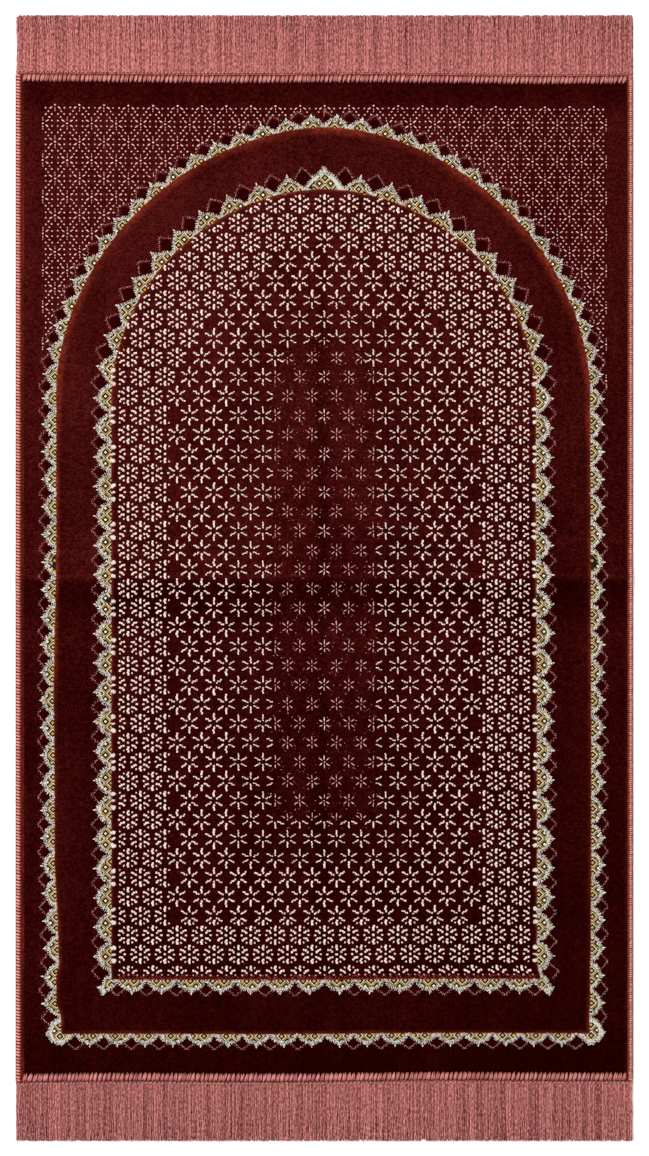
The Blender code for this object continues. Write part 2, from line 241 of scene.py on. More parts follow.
class Bench:
    """Places and joins the nodes of one tree."""

    def __init__(self, tree: NodeTree) -> None:
        """Work on a tree."""
        self.tree = tree

    def feed(self, node: Node, inputs: dict) -> None:
        """Link a node's inputs to what other nodes give out, or set their own values."""
        for key, value in inputs.items():
            if isinstance(value, Value):
                self.tree.links.new(value.socket, node.inputs[key])
            else:
                node.inputs[key].default_value = value

    def put(self, kind: str, inputs: dict | None = None, **settings: object) -> Node:
        """Place a node.

        Args:
            kind: Blender's name of the node's type.
            inputs: A number, colour or Value for each input, by its name or place.
            settings: Properties of the node itself.

        Returns:
            The node.
        """
        node = self.tree.nodes.new(kind)
        for name, value in settings.items():
            setattr(node, name, value)
        self.feed(node, inputs or {})
        return node

    def get(self, kind: str, inputs: dict | None = None, output: int | str = 0,
            **settings: object) -> Value:
        """Place a node and take one of its outputs, the first unless another is asked for."""
        return Value(self, self.put(kind, inputs, **settings).outputs[output])

    def use(self, group: NodeTree, **inputs: object) -> dict[str, Value]:
        """Place a shared group and take its outputs; underscores in names stand for spaces."""
        node = self.put("ShaderNodeGroup", node_tree=group)
        self.feed(node, spaced(inputs))
        return {socket.name: Value(self, socket) for socket in node.outputs}

    def give(self, **values: object) -> NodeTree:
        """End a group with what it gives out."""
        self.put("NodeGroupOutput", values)
        return self.tree

    def dress(self, **inputs: object) -> None:
        """Set up a material's own shader; underscores in names stand for spaces."""
        self.feed(self.tree.nodes["Principled BSDF"], spaced(inputs))

    def math(self, operation: str, *values: object) -> Value:
        """Work out one number from others."""
        return self.get("ShaderNodeMath", dict(enumerate(values)), operation=operation)

    def step(self, value: object, start: object, end: object, low: float = 0.0,
             high: float = 1.0) -> Value:
        """Change smoothly from low to high while the value goes from start to end."""
        return self.get("ShaderNodeMapRange", dict(enumerate((value, start, end, low, high))),
                        interpolation_type="SMOOTHSTEP")

    def hump(self, value: object, start: float, full: float, last: object, end: object) -> Value:
        """Rise from 0 at the start to 1 where it is full, and fall to 0 from last to end."""
        return self.step(value, start, full) * self.step(value, last, end, 1.0, 0.0)

    def blend(self, share: object, first: object, second: object) -> Value:
        """Mix two colours."""
        pair = [item if isinstance(item, Value) else (*item, 1.0) for item in (first, second)]
        return self.get("ShaderNodeMix", {0: share, 6: pair[0], 7: pair[1]}, 2, data_type="RGBA")

    def shade(self, value: object, stops: tuple[tuple[float, Colour], ...]) -> Value:
        """Colour a value by the colours that it has at three stops."""
        node = self.put("ShaderNodeValToRGB", {"Fac": value})
        elements = node.color_ramp.elements
        (first, low), (between, middle), (last, high) = stops
        elements[0].position, elements[0].color = first, (*low, 1.0)
        elements[1].position, elements[1].color = last, (*high, 1.0)
        elements.new(between).color = (*middle, 1.0)
        return Value(self, node.outputs["Color"])

    def noise(self, place: object, scale: object, detail: float = 2.0, roughness: float = 0.5) -> Value:
        """Cloudy value between 0 and 1 at a place."""
        return self.get(
            "ShaderNodeTexNoise",
            {"Vector": place, "Scale": scale, "Detail": detail, "Roughness": roughness})

    def bump(self, height: object, relief: float, strength: float) -> Value:
        """Lean a surface by its fine heights."""
        return self.get("ShaderNodeBump", {"Height": height, "Distance": relief, "Strength": strength})

    def stretch(self, place: object, shares: object) -> Value:
        """Scale a place along its axes."""
        return self.get("ShaderNodeVectorMath", {0: place, 1: shares}, operation="MULTIPLY")

    def parts(self, place: object) -> tuple[Value, ...]:
        """Split a place into its x, y and z."""
        node = self.put("ShaderNodeSeparateXYZ", {"Vector": place})
        return tuple(Value(self, socket) for socket in node.outputs)

    def join(self, x: object, y: object, z: object) -> Value:
        """Make a place of x, y and z."""
        return self.get("ShaderNodeCombineXYZ", {"X": x, "Y": y, "Z": z})


def spaced(inputs: dict[str, object]) -> dict[str, object]:
    """Write the names of inputs with spaces in place of underscores."""
    return {name.replace("_", " "): value for name, value in inputs.items()}


def new_group(
        name: str, kind: str, inputs: dict[str, tuple[str, object]], outputs: dict[str, str]
) -> tuple[Bench, dict[str, Value]]:
    """Start a node group.

    Args:
        name: The group's name.
        kind: ShaderNodeTree or GeometryNodeTree.
        inputs: Socket type and value of each named input; the value may be None.
        outputs: Socket type of each named output.

    Returns:
        The bench that works on it, and what its inputs give by name.
    """
    tree = bpy.data.node_groups.new(name, kind)
    for label, (socket_type, value) in inputs.items():
        socket = tree.interface.new_socket(label, in_out="INPUT", socket_type=socket_type)
        if value is not None:
            socket.default_value = value
    for label, socket_type in outputs.items():
        tree.interface.new_socket(label, in_out="OUTPUT", socket_type=socket_type)
    bench = Bench(tree)
    entry = bench.put("NodeGroupInput")
    return bench, {socket.name: Value(bench, socket) for socket in entry.outputs}


def new_material(name: str) -> tuple[Material, Bench]:
    """Start a material, with the bench that works on its nodes."""
    material = bpy.data.materials.new(name)
    material.use_nodes = True
    return material, Bench(material.node_tree)


FLOAT = "NodeSocketFloat"
COUNT = "NodeSocketInt"
PLACE = {"Vector": ("NodeSocketVector", None)}
PATTERN = {"Shade": FLOAT, "Height": FLOAT}


def cut_fibre_group() -> NodeTree:
    """Shades and heights of cut yarn ends: fine grain, with a few ends that catch the light."""
    bench, given = new_group(
        "Cut Fibre", "ShaderNodeTree", PLACE | {"Grain": (FLOAT, 700.0), "Glints": (FLOAT, 0.3)}, PATTERN)
    place, grain = given["Vector"], given["Grain"]
    fine = bench.noise(place, grain, 3.0, 0.65)
    coarse = bench.noise(place, grain * 0.35, 2.0, 0.6)
    both = fine * 0.72 + coarse * 0.28
    spots = bench.noise(place, grain * 0.8, 1.0, 0.5)
    glint = bench.step(spots, 0.66, 0.80) * given["Glints"]
    return bench.give(Shade=bench.step(both, 0.34, 0.66) + glint, Height=both)


def ply_group() -> NodeTree:
    """Shades and heights of a twisted yarn: its plies slant across it, with loose fibres."""
    bench, given = new_group(
        "Yarn Plies", "ShaderNodeTree", PLACE | {"Plies": (FLOAT, 900.0), "Slant": (FLOAT, 0.6)}, PATTERN)
    place, plies = given["Vector"], given["Plies"]
    x, y, z = bench.parts(place)
    loose = bench.noise(place, plies * 0.25, 3.0, 0.6)
    turn = (x + z + y * given["Slant"]) * (plies * (2.0 * math.pi))
    ridge = bench.math("SINE", turn + loose * 3.0) * 0.5 + 0.5
    height = ridge * 0.6 + bench.noise(place, plies * 2.2, 2.0, 0.6) * 0.4
    return bench.give(Shade=height * 0.65 + loose * 0.35, Height=height)


def knot_grid_group() -> NodeTree:
    """Shades and heights of rows and columns of woven knots, for flat woven areas."""
    bench, given = new_group("Knot Grid", "ShaderNodeTree", PLACE | {"Knots": (FLOAT, 780.0)}, PATTERN)
    x, y, _ = bench.parts(given["Vector"])
    turn = given["Knots"] * math.pi
    knots = abs(bench.math("SINE", x * turn)) * abs(bench.math("SINE", y * turn))
    uneven = bench.noise(given["Vector"], given["Knots"] * 0.8, 3.0, 0.7)
    both = knots * 0.45 + uneven * 0.55
    return bench.give(Shade=bench.step(both, 0.18, 0.72), Height=both)


def niche_reach_group() -> NodeTree:
    """Distance that a place lies inside a niche outline, in metres; less than 0 is outside."""
    bench, given = new_group(
        "Niche Reach", "ShaderNodeTree",
        PLACE | {"Centre X": (FLOAT, 0.0), "Half Width": (FLOAT, 0.2), "Spring Y": (FLOAT, 0.2),
                 "Foot Y": (FLOAT, -0.4), "Rise": (FLOAT, 0.2), "Power": (FLOAT, 1.88)},
        {"Reach": FLOAT})
    x, y, _ = bench.parts(given["Vector"])
    half, power = given["Half Width"], given["Power"]
    aside = abs(x - given["Centre X"]) / half
    above = bench.math("MAXIMUM", y - given["Spring Y"], 0.0) / given["Rise"]
    size = (aside ** power + above ** power) ** (1.0 / power)
    return bench.give(Reach=bench.math("MINIMUM", (1.0 - size) * half, y - given["Foot Y"]))


class Groups:
    """The shader node groups that several finishes share, each built once."""

    def __init__(self) -> None:
        """Build the groups."""
        self.cut_fibre = cut_fibre_group()
        self.plies = ply_group()
        self.knots = knot_grid_group()
        self.reach = niche_reach_group()


# --- Finishes ---

class Surface(Enum):
    """What a yarn's surface is like close by."""

    CUT = "cut pile"
    TWISTED = "twisted yarn"
    KNOTTED = "flat knots"


@dataclass(frozen=True)
class YarnFinish:
    """A dyed yarn: its colours in shade and in light, its gloss, sheen and surface."""

    name: str
    slot: Slot
    deep: Colour
    bright: Colour
    surface: Surface = Surface.CUT
    scale: float = 600.0
    relief: float = 0.0002
    bump: float = 0.8
    roughness: float = 0.85
    gloss: float = 0.06
    sheen: float = 0.03
    sheen_roughness: float = 0.5
    tone_share: float = 0.5
    slant: float = 0.6
    fleck: float = 0.0
    fleck_size: Size = (700.0, 280.0, 700.0)
    middle: Colour | None = None
    middle_stop: float = 0.45

    def make(self, groups: Groups) -> Material:
        """Build the material.

        Args:
            groups: The shared shader groups.

        Returns:
            The material, which reads the piece's tone attribute.
        """
        material, bench = new_material(self.name)
        place = bench.get("ShaderNodeTexCoord", output="Object")
        if self.surface is Surface.CUT:
            detail = bench.use(groups.cut_fibre, Vector=place, Grain=self.scale)
        elif self.surface is Surface.TWISTED:
            detail = bench.use(groups.plies, Vector=place, Plies=self.scale, Slant=self.slant)
        else:
            detail = bench.use(groups.knots, Vector=place, Knots=self.scale)
        tone = bench.get("ShaderNodeAttribute", output="Fac", attribute_name="tone")
        share = tone * self.tone_share + detail["Shade"] * (1.0 - self.tone_share)
        if self.fleck:
            spots = bench.noise(bench.stretch(place, self.fleck_size), 1.0, 2.0, 0.6)
            share = share + bench.step(spots, 0.35, 0.65, -self.fleck, self.fleck)
        if self.middle:
            colour = bench.shade(
                share, ((0.0, self.deep), (self.middle_stop, self.middle), (1.0, self.bright)))
        else:
            colour = bench.blend(share, self.deep, self.bright)
        bench.dress(
            Base_Color=colour, Normal=bench.bump(detail["Height"], self.relief, self.bump),
            Roughness=self.roughness, Sheen_Weight=self.sheen, Sheen_Roughness=self.sheen_roughness,
            Specular_IOR_Level=self.gloss)
        return material


@dataclass(frozen=True)
class Niche:
    """Outline with straight sides on a flat foot, under an arch."""

    centre_x: float
    half_width: float
    spring_y: float
    foot_y: float
    rise: float
    power: float

    def arch_point(self, angle: float) -> Point:
        """Point of the arch: angle 0 is its right end, a quarter turn its top."""
        share = 2.0 / self.power
        across = math.copysign(abs(math.cos(angle)) ** share, math.cos(angle))
        up = abs(math.sin(angle)) ** share
        return self.centre_x + self.half_width * across, self.spring_y + self.rise * up

    def holds(self, x: np.ndarray, y: np.ndarray) -> np.ndarray:
        """Tell which places lie inside the outline."""
        return self.size_at(x, y) < 1.0

    def size_at(self, x: np.ndarray, y: np.ndarray) -> np.ndarray:
        """Size that the outline would have to be scaled to, to pass through a place."""
        aside = np.abs(x - self.centre_x) / self.half_width
        above = np.maximum(y - self.spring_y, 0.0) / self.rise
        arch = (aside ** self.power + above ** self.power) ** (1.0 / self.power)
        return np.where(y > self.foot_y, arch, 2.0)


INNER_NICHE = Niche(-0.0005, 0.2338, 0.1958, -0.4412, 0.2313, 1.94)
OUTER_NICHE = Niche(-0.0014, 0.2934, 0.2046, -0.5010, 0.2906, 1.86)


@dataclass(frozen=True)
class PileFinish:
    """Deep red cut pile, whose colour varies in random clouds and carries painted light: lighter
    towards the top left, painted highlight and painted shade beside the folds, and painted
    highlights on its edges.

    Clouds of the pile's colour have a fineness along each axis, a roughness and a strength. Slopes
    have an axis, where they start and end, and how light they are there: painted light falling
    from the top left, and a darkening close to both ends. Bands of painted highlight and shade
    beside the folds have where they start, are full from, are full to and end, and how light they
    are. Edges have how far their painted highlight reaches at a niche's sides and on its arch,
    and how strongly.
    """

    name: str = "deep_red_pile"
    darkest: Colour = (0.0080, 0.0001, 0.0001)
    middle: Colour = (0.0300, 0.0018, 0.0014)
    lightest: Colour = (0.0900, 0.0095, 0.0082)
    stops: Size = (0.12, 0.50, 0.92)
    # Painted highlight of the pile's edges, which catch the light.
    edge_highlight_colour: Colour = (0.2100, 0.0240, 0.0120)
    back_deep: Colour = (0.0550, 0.0130, 0.0110)
    back_bright: Colour = (0.1800, 0.0600, 0.0520)
    back_knots: float = 520.0
    grain: float = 820.0
    glints: float = 0.5
    contrast: float = 0.72
    relief: float = 0.0006
    bump: float = 0.7
    level: float = 0.065
    clouds: Table = (
        (9.0, 9.0, 9.0, 0.50, 0.30), (30.0, 4.0, 1.0, 0.55, 0.26), (110.0, 9.0, 1.0, 0.60, 0.14),
        (55.0, 55.0, 55.0, 0.60, 0.12))
    # Slopes: painted light, lighter towards the top and the left; and a darkening close to both ends.
    slopes: Table = (
        (1, -0.56, 0.44, -0.235, 0.055), (1, 0.500, 0.535, 0.0, -0.19), (1, -0.490, -0.525, 0.0, -0.09),
        (0, -0.34, 0.34, 0.035, -0.035))
    # Painted highlight just above the fold across the rug, and painted shade below it.
    fold_across_painted_light: Table = (
        (-0.0010, 0.0022, 0.0022, 0.0060, 0.09), (-0.0700, -0.0140, -0.0085, 0.0015, -0.20))
    # Painted shade in the fold along the rug, and painted highlight beside it on one side.
    fold_along_painted_shade: tuple[float, ...] = (-0.0110, -0.0010, 0.0010, 0.0110, -0.10)
    fold_along_painted_highlight: tuple[float, ...] = (0.010, 0.024, 0.030, 0.060, 0.05)
    wander: float = 0.0015
    # Painted highlight along each niche's edge: how far at its sides, how far on its arch, how strong.
    edges: tuple[tuple[Niche, float, float, float], ...] = (
        (OUTER_NICHE, 0.0050, 0.0105, 0.90), (INNER_NICHE, 0.0036, 0.0040, 0.62))

    def nap_and_painted_light(self, bench: Bench, place: Value) -> Value:
        """Work out how light the pile is at each place: random clouds, with painted light from the top
        left and painted highlight and shade at the folds.

        Args:
            bench: The material's bench.
            place: Place on the rug.

        Returns:
            A value of about 0.5, less where the pile is darker and more where it is lighter.
        """
        axes = bench.parts(place)
        x, y, _ = axes
        wander = bench.noise(place, 25.0, 1.0) * (2.0 * self.wander) - self.wander
        beside_across = y + wander
        beside_along = x - FOLD_ALONG_X + wander
        inside = bench.step(abs(y), 0.50, 0.42)
        outward = beside_along * (bench.step(y, -0.05, 0.12) * 2.0 - 1.0)
        *crease, crease_light = self.fold_along_painted_shade
        *band, band_light = self.fold_along_painted_highlight
        # Painted shade in the fold along the rug and painted highlight beside it, fading out near the
        # ends.
        value = (bench.hump(beside_along, *crease) * crease_light
                 + bench.hump(outward, *band) * band_light) * inside + self.level
        for *fineness, roughness, strength in self.clouds:
            value = value + bench.noise(bench.stretch(place, fineness), 1.0, 2.0, roughness) * strength
        # Painted light, lighter towards the top left; and a darkening close to both ends.
        for axis, *slope in self.slopes:
            value = value + bench.step(axes[axis], *slope)
        # Painted highlight and painted shade beside the fold across the rug.
        for *reach, light in self.fold_across_painted_light:
            value = value + bench.hump(beside_across, *reach) * light
        return value

    def painted_edge_highlight(self, bench: Bench, groups: Groups, place: Value) -> Value:
        """Find where to paint a highlight on the pile's edges, where they catch the light.

        Args:
            bench: The material's bench.
            groups: The shared shader groups.
            place: Place on the rug.

        Returns:
            Share of the painted highlight colour.
        """
        x, y, _ = bench.parts(place)
        patchy = bench.step(bench.noise(place, 260.0, 3.0, 0.7), 0.38, 0.64)
        broad = bench.step(bench.noise(place, 16.0, 1.0, 0.5), 0.35, 0.65, 0.35, 1.0)
        # Stronger towards the top, and on the rug's sides stronger on the left: painted light from the top
        # left.
        lit = bench.step(y, -0.45, 0.30, 0.45, 1.0)
        rim = bench.step(abs(x), PILE_HALF_WIDTH - 0.0030, PILE_HALF_WIDTH - 0.0004)
        total = rim * bench.step(x, -0.3, 0.3, 0.75, 0.2)
        for niche, width, arch_width, strength in self.edges:
            reach = bench.use(
                groups.reach, Vector=place, Centre_X=niche.centre_x, Half_Width=niche.half_width,
                Spring_Y=niche.spring_y, Foot_Y=niche.foot_y, Rise=niche.rise,
                Power=niche.power)["Reach"]
            wide = bench.step(y, 0.10, 0.26, width, arch_width)
            near = bench.hump(reach, -0.0008, 0.0, 0.0004, wide)
            total = bench.math("MAXIMUM", total, near * lit * strength)
        return total * (patchy * 0.7 + 0.3) * broad

    def make(self, groups: Groups) -> Material:
        """Build the material, with the woven back on faces that look down.

        Args:
            groups: The shared shader groups.

        Returns:
            The material, which reads the cloth's flat attribute.
        """
        material, bench = new_material(self.name)
        place = bench.get("ShaderNodeAttribute", output="Vector", attribute_name="flat")
        fibre = bench.use(groups.cut_fibre, Vector=place, Grain=self.grain, Glints=self.glints)
        light = self.nap_and_painted_light(bench, place) + (fibre["Shade"] - 0.5) * self.contrast
        pile = bench.shade(light, tuple(zip(self.stops, (self.darkest, self.middle, self.lightest))))
        # Painted highlight on the pile's edges.
        front = bench.blend(self.painted_edge_highlight(bench, groups, place), pile, self.edge_highlight_colour)
        weave = bench.use(groups.knots, Vector=place, Knots=self.back_knots)
        back = bench.blend(weave["Shade"], self.back_deep, self.back_bright)
        facing = bench.parts(bench.get("ShaderNodeNewGeometry", output="Normal"))[2]
        under = bench.step(facing, -0.4, -0.6)
        height = fibre["Height"] * (1.0 - under) + weave["Height"] * under
        bench.dress(
            Base_Color=bench.blend(under, front, back), Normal=bench.bump(height, self.relief, self.bump),
            Roughness=0.95, Specular_IOR_Level=0.0, Sheen_Weight=0.015, Sheen_Roughness=0.45,
            Sheen_Tint=(0.9, 0.25, 0.2, 1.0))
        return material


PETAL_YARN = YarnFinish(
    "cream_petal_yarn", Slot.CREAM, (0.46, 0.18, 0.15), (0.97, 0.79, 0.70), tone_share=0.6)
SPECK_YARN = YarnFinish(
    "pink_cream_yarn", Slot.PINK, (0.32, 0.090, 0.080), (0.98, 0.60, 0.555), tone_share=0.7)
LACE_YARN = YarnFinish(
    "cream_lace_yarn", Slot.CREAM, (0.130, 0.118, 0.080), (0.87, 0.87, 0.75), Surface.KNOTTED, 560.0,
    tone_share=0.40)
EDGE_YARN = YarnFinish(
    "cream_edge_yarn", Slot.CREAM, (0.36, 0.23, 0.175), (0.95, 0.91, 0.79), tone_share=0.75)
GOLD_YARN = YarnFinish(
    "gold_lace_yarn", Slot.GOLD, (0.240, 0.120, 0.012), (0.80, 0.41, 0.050), scale=500.0)
DARK_YARN = YarnFinish("black_lace_yarn", Slot.DARK, (0.003, 0.002, 0.001), (0.022, 0.013, 0.008))
WHITE_YARN = YarnFinish("white_lace_yarn", Slot.CREAM, (0.45, 0.40, 0.34), (0.92, 0.89, 0.82))
FLECK_YARN = YarnFinish(
    "brown_fleck_yarn", Slot.DARK, (0.004, 0.003, 0.001), (0.130, 0.100, 0.045), tone_share=0.8)
# Bright red on the pile's edge in the valleys and along the foot: painted highlight.
VALLEY_PILE_HIGHLIGHT = YarnFinish(
    "red_valley_pile_highlight", Slot.PINK, (0.050, 0.003, 0.002), (0.420, 0.045, 0.038), tone_share=0.7)
# The pile's red up to a painted highlight, for the tufts over the lace's base that catch the light.
LEANING_PILE_HIGHLIGHT = YarnFinish(
    "leaning_red_pile_painted_highlight", Slot.PILE, (0.030, 0.0012, 0.0008), (0.290, 0.040, 0.016), scale=640.0,
    relief=0.0004, gloss=0.0, sheen=0.0, tone_share=0.7)
PICOT_YARN = YarnFinish(
    "pink_picot_yarn", Slot.PINK, (0.070, 0.009, 0.010), (0.72, 0.31, 0.30), tone_share=0.8)
SHADED_PILE = YarnFinish(
    "shaded_red_pile", Slot.PILE, (0.008, 0.0001, 0.0001), (0.034, 0.0012, 0.0011), scale=640.0,
    relief=0.0004, gloss=0.0, sheen=0.0, tone_share=0.2)
SHADED_THREAD = YarnFinish(
    "shaded_thread", Slot.BINDING, (0.045, 0.004, 0.003), (0.190, 0.030, 0.022), scale=500.0, gloss=0.02,
    sheen=0.01, tone_share=0.3)
BINDING_THREAD = YarnFinish(
    "salmon_binding_thread", Slot.BINDING, (0.060, 0.004, 0.002), (0.96, 0.520, 0.450), Surface.TWISTED,
    1100.0, roughness=0.6, relief=0.00025, slant=0.15, middle=(0.70, 0.215, 0.165))
CHAIN_THREAD = YarnFinish(
    "red_chain_thread", Slot.BINDING, (0.080, 0.008, 0.004), (0.36, 0.075, 0.050), Surface.TWISTED,
    1100.0, roughness=0.6, relief=0.00025, slant=0.15)
WHIPPING_THREAD = YarnFinish(
    "rose_whipping_thread", Slot.WHIPPING, (0.060, 0.005, 0.004), (0.96, 0.400, 0.372), Surface.TWISTED,
    1000.0, roughness=0.6, relief=0.00025, slant=0.35, middle=(0.41, 0.124, 0.110))
FRINGE_YARN = YarnFinish(
    "rose_fringe_yarn", Slot.FRINGE, (0.045, 0.002, 0.002), (0.97, 0.375, 0.345), Surface.TWISTED, 1100.0,
    roughness=0.65, relief=0.00025, tone_share=0.6, slant=0.5, fleck=0.24, middle=(0.36, 0.104, 0.094))


# --- Making pieces ---

def add_piece(name: str, mesh: Mesh, material: Material, slot: Slot, *nodes: str) -> Object:
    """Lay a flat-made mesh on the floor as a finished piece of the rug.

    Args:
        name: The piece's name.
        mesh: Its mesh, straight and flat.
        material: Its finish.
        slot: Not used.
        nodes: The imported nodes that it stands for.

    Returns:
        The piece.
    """
    mesh.name = name
    mesh.materials.clear()
    mesh.materials.append(material)
    for label in ("turn", "size", "UVMap"):
        if label in mesh.attributes:
            mesh.attributes.remove(mesh.attributes[label])
    lay_down(mesh)
    piece = new_object(name, mesh)
    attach(piece, "root")
    if nodes:
        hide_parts(*nodes)
    triangles = sum(len(face.vertices) - 2 for face in mesh.polygons)
    LOG.info("%s: %d triangles", name, triangles)
    return piece


def run_tree(tree: NodeTree, points: Mesh, **inputs: object) -> Mesh:
    """Run a geometry tree over a mesh and keep what it makes as a plain mesh.

    Args:
        tree: The tree.
        points: The mesh that it starts from.
        inputs: The tree's other inputs by name; underscores stand for spaces.

    Returns:
        The mesh that the tree makes.
    """
    holder = new_object(points.name, points)
    step = holder.modifiers.new("tree", "NODES")
    step.node_group = tree
    sockets = {item.name: item.identifier for item in tree.interface.items_tree
               if item.item_type == "SOCKET" and item.in_out == "INPUT"}
    for name, value in inputs.items():
        step[sockets[name.replace("_", " ")]] = value
    graph = bpy.context.evaluated_depsgraph_get()
    mesh = bpy.data.meshes.new_from_object(holder.evaluated_get(graph), depsgraph=graph)
    holder.modifiers.remove(step)
    bpy.data.objects.remove(holder, do_unlink=True)
    return mesh


@dataclass
class Marks:
    """Places for small repeated shapes, each with its turn, size and tone."""

    name: str
    rows: list[tuple[float, ...]] = field(default_factory=list)

    def add(self, x: float, y: float, z: float, turn: float, size: Size, tone: float = 0.5) -> None:
        """Add one place."""
        self.rows.append((x, y, z, turn, *size, tone))

    def mesh(self, seed: int, drift: float = 0.0, sway: float = 0.0, spread: float = 0.0,
             shade: float = 0.0) -> Mesh:
        """Make loose points of the places, each a little off from where it is charted.

        Args:
            seed: Seed of the small differences.
            drift: Most that a place moves, in metres.
            sway: Most that it turns, in radians.
            spread: Most that its sizes change, as a share.
            shade: Most that its tone changes.

        Returns:
            A mesh of points with turn, size and tone attributes.
        """
        chance = np.random.default_rng(seed)
        rows = np.array(self.rows, dtype=float)
        count = len(rows)
        rows[:, 0:2] += chance.uniform(-drift, drift, (count, 2))
        rows[:, 3] += chance.uniform(-sway, sway, count)
        rows[:, 4:6] *= 1.0 + chance.uniform(-spread, spread, (count, 2))
        rows[:, 7] = np.clip(rows[:, 7] + chance.uniform(-shade, shade, count), 0.0, 1.0)
        mesh = bpy.data.meshes.new(self.name)
        mesh.vertices.add(count)
        mesh.vertices.foreach_set("co", rows[:, 0:3].astype(np.float32).ravel())
        for label, kind, key, columns in (
                ("turn", "FLOAT", "value", slice(3, 4)), ("size", "FLOAT_VECTOR", "vector", slice(4, 7)),
                ("tone", "FLOAT", "value", slice(7, 8))):
            layer = mesh.attributes.new(label, kind, "POINT")
            layer.data.foreach_set(key, rows[:, columns].astype(np.float32).ravel())
        return mesh


def read_attribute(bench: Bench, name: str, kind: str = "FLOAT") -> Value:
    """Read a point attribute by its name."""
    return bench.get("GeometryNodeInputNamedAttribute", {"Name": name}, "Attribute", data_type=kind)


def store_number(bench: Bench, shape: Value, name: str, value: Value) -> Value:
    """Keep a number on every point of a shape under a name."""
    return bench.get(
        "GeometryNodeStoreNamedAttribute", {"Geometry": shape, "Name": name, "Value": value},
        data_type="FLOAT", domain="POINT")


def set_on_points(bench: Bench, points: Value, shape: Value) -> Value:
    """Set a shape on each point by its turn and size, and make the copies real."""
    angle = bench.get(
        "FunctionNodeEulerToRotation", {"Euler": bench.join(0.0, 0.0, read_attribute(bench, "turn"))})
    copies = bench.get(
        "GeometryNodeInstanceOnPoints",
        {"Points": points, "Instance": shape, "Rotation": angle,
         "Scale": read_attribute(bench, "size", "FLOAT_VECTOR")})
    return bench.get("GeometryNodeRealizeInstances", {"Geometry": copies})


def move_points(bench: Bench, shape: Value, offset: Value) -> Value:
    """Move the points of a shape."""
    return bench.get("GeometryNodeSetPosition", {"Geometry": shape, "Offset": offset})


def tube_along(bench: Bench, line: Value, sides: Value, radius: object, scale: Value) -> Value:
    """Make a closed tube along a line."""
    ring = bench.get(
        "GeometryNodeCurvePrimitiveCircle", {"Resolution": sides, "Radius": radius}, mode="RADIUS")
    return bench.get(
        "GeometryNodeCurveToMesh",
        {"Curve": line, "Profile Curve": ring, "Scale": scale, "Fill Caps": True})


def end_tree(bench: Bench, given: dict[str, Value], shape: Value) -> NodeTree:
    """Darken a tree's result towards its rims as painted shade, shade it smooth and give it its finish."""
    tone = read_attribute(bench, "tone") - read_attribute(bench, "rim") * given["Fade"]
    toned = store_number(bench, shape, "tone", tone)
    plain = bench.get("GeometryNodeRemoveAttribute", {"Geometry": toned, "Name": "rim"})
    smooth = bench.get("GeometryNodeSetShadeSmooth", {"Geometry": plain})
    return bench.give(
        Geometry=bench.get("GeometryNodeSetMaterial", {"Geometry": smooth, "Material": given["Finish"]}))


GEOMETRY = {"Geometry": "NodeSocketGeometry"}
TREE_INPUTS = {
    "Geometry": ("NodeSocketGeometry", None), "Fade": (FLOAT, 0.3),
    "Finish": ("NodeSocketMaterial", None)}


def tuft_tree() -> NodeTree:
    """Tree that sets a low domed tuft of cut yarn, with a ragged edge, on each point."""
    bench, given = new_group(
        "Tufts", "GeometryNodeTree",
        TREE_INPUTS | {"Sides": (COUNT, 8), "Top Share": (FLOAT, 0.76), "Ragged": (FLOAT, 0.0003),
                       "Ragged Scale": (FLOAT, 900.0)}, GEOMETRY)
    dome = bench.get(
        "GeometryNodeMeshCone",
        {"Vertices": given["Sides"], "Radius Bottom": 0.5, "Depth": 1.0,
         "Radius Top": given["Top Share"] * 0.5})
    turned = bench.get(
        "GeometryNodeTransform",
        {"Geometry": dome, "Rotation": bench.join(0.0, 0.0, math.pi / given["Sides"])})
    x, _, z = bench.parts(bench.get("GeometryNodeInputPosition"))
    # Painted shade towards each tuft's sides and foot.
    rimmed = store_number(bench, turned, "rim", abs(x) - z * 0.5 + 0.5)
    tufts = set_on_points(bench, given["Geometry"], rimmed)
    ragged = bench.get(
        "ShaderNodeTexNoise",
        {"Vector": bench.get("GeometryNodeInputPosition"), "Scale": given["Ragged Scale"],
         "Detail": 1.0}, 1)
    centred = bench.get("ShaderNodeVectorMath", {0: ragged, 1: (0.5, 0.5, 0.5)}, operation="SUBTRACT")
    reach = given["Ragged"] * 4.0
    aside = bench.stretch(centred, bench.join(reach, reach, 0.0))
    return end_tree(bench, given, move_points(bench, tufts, aside))


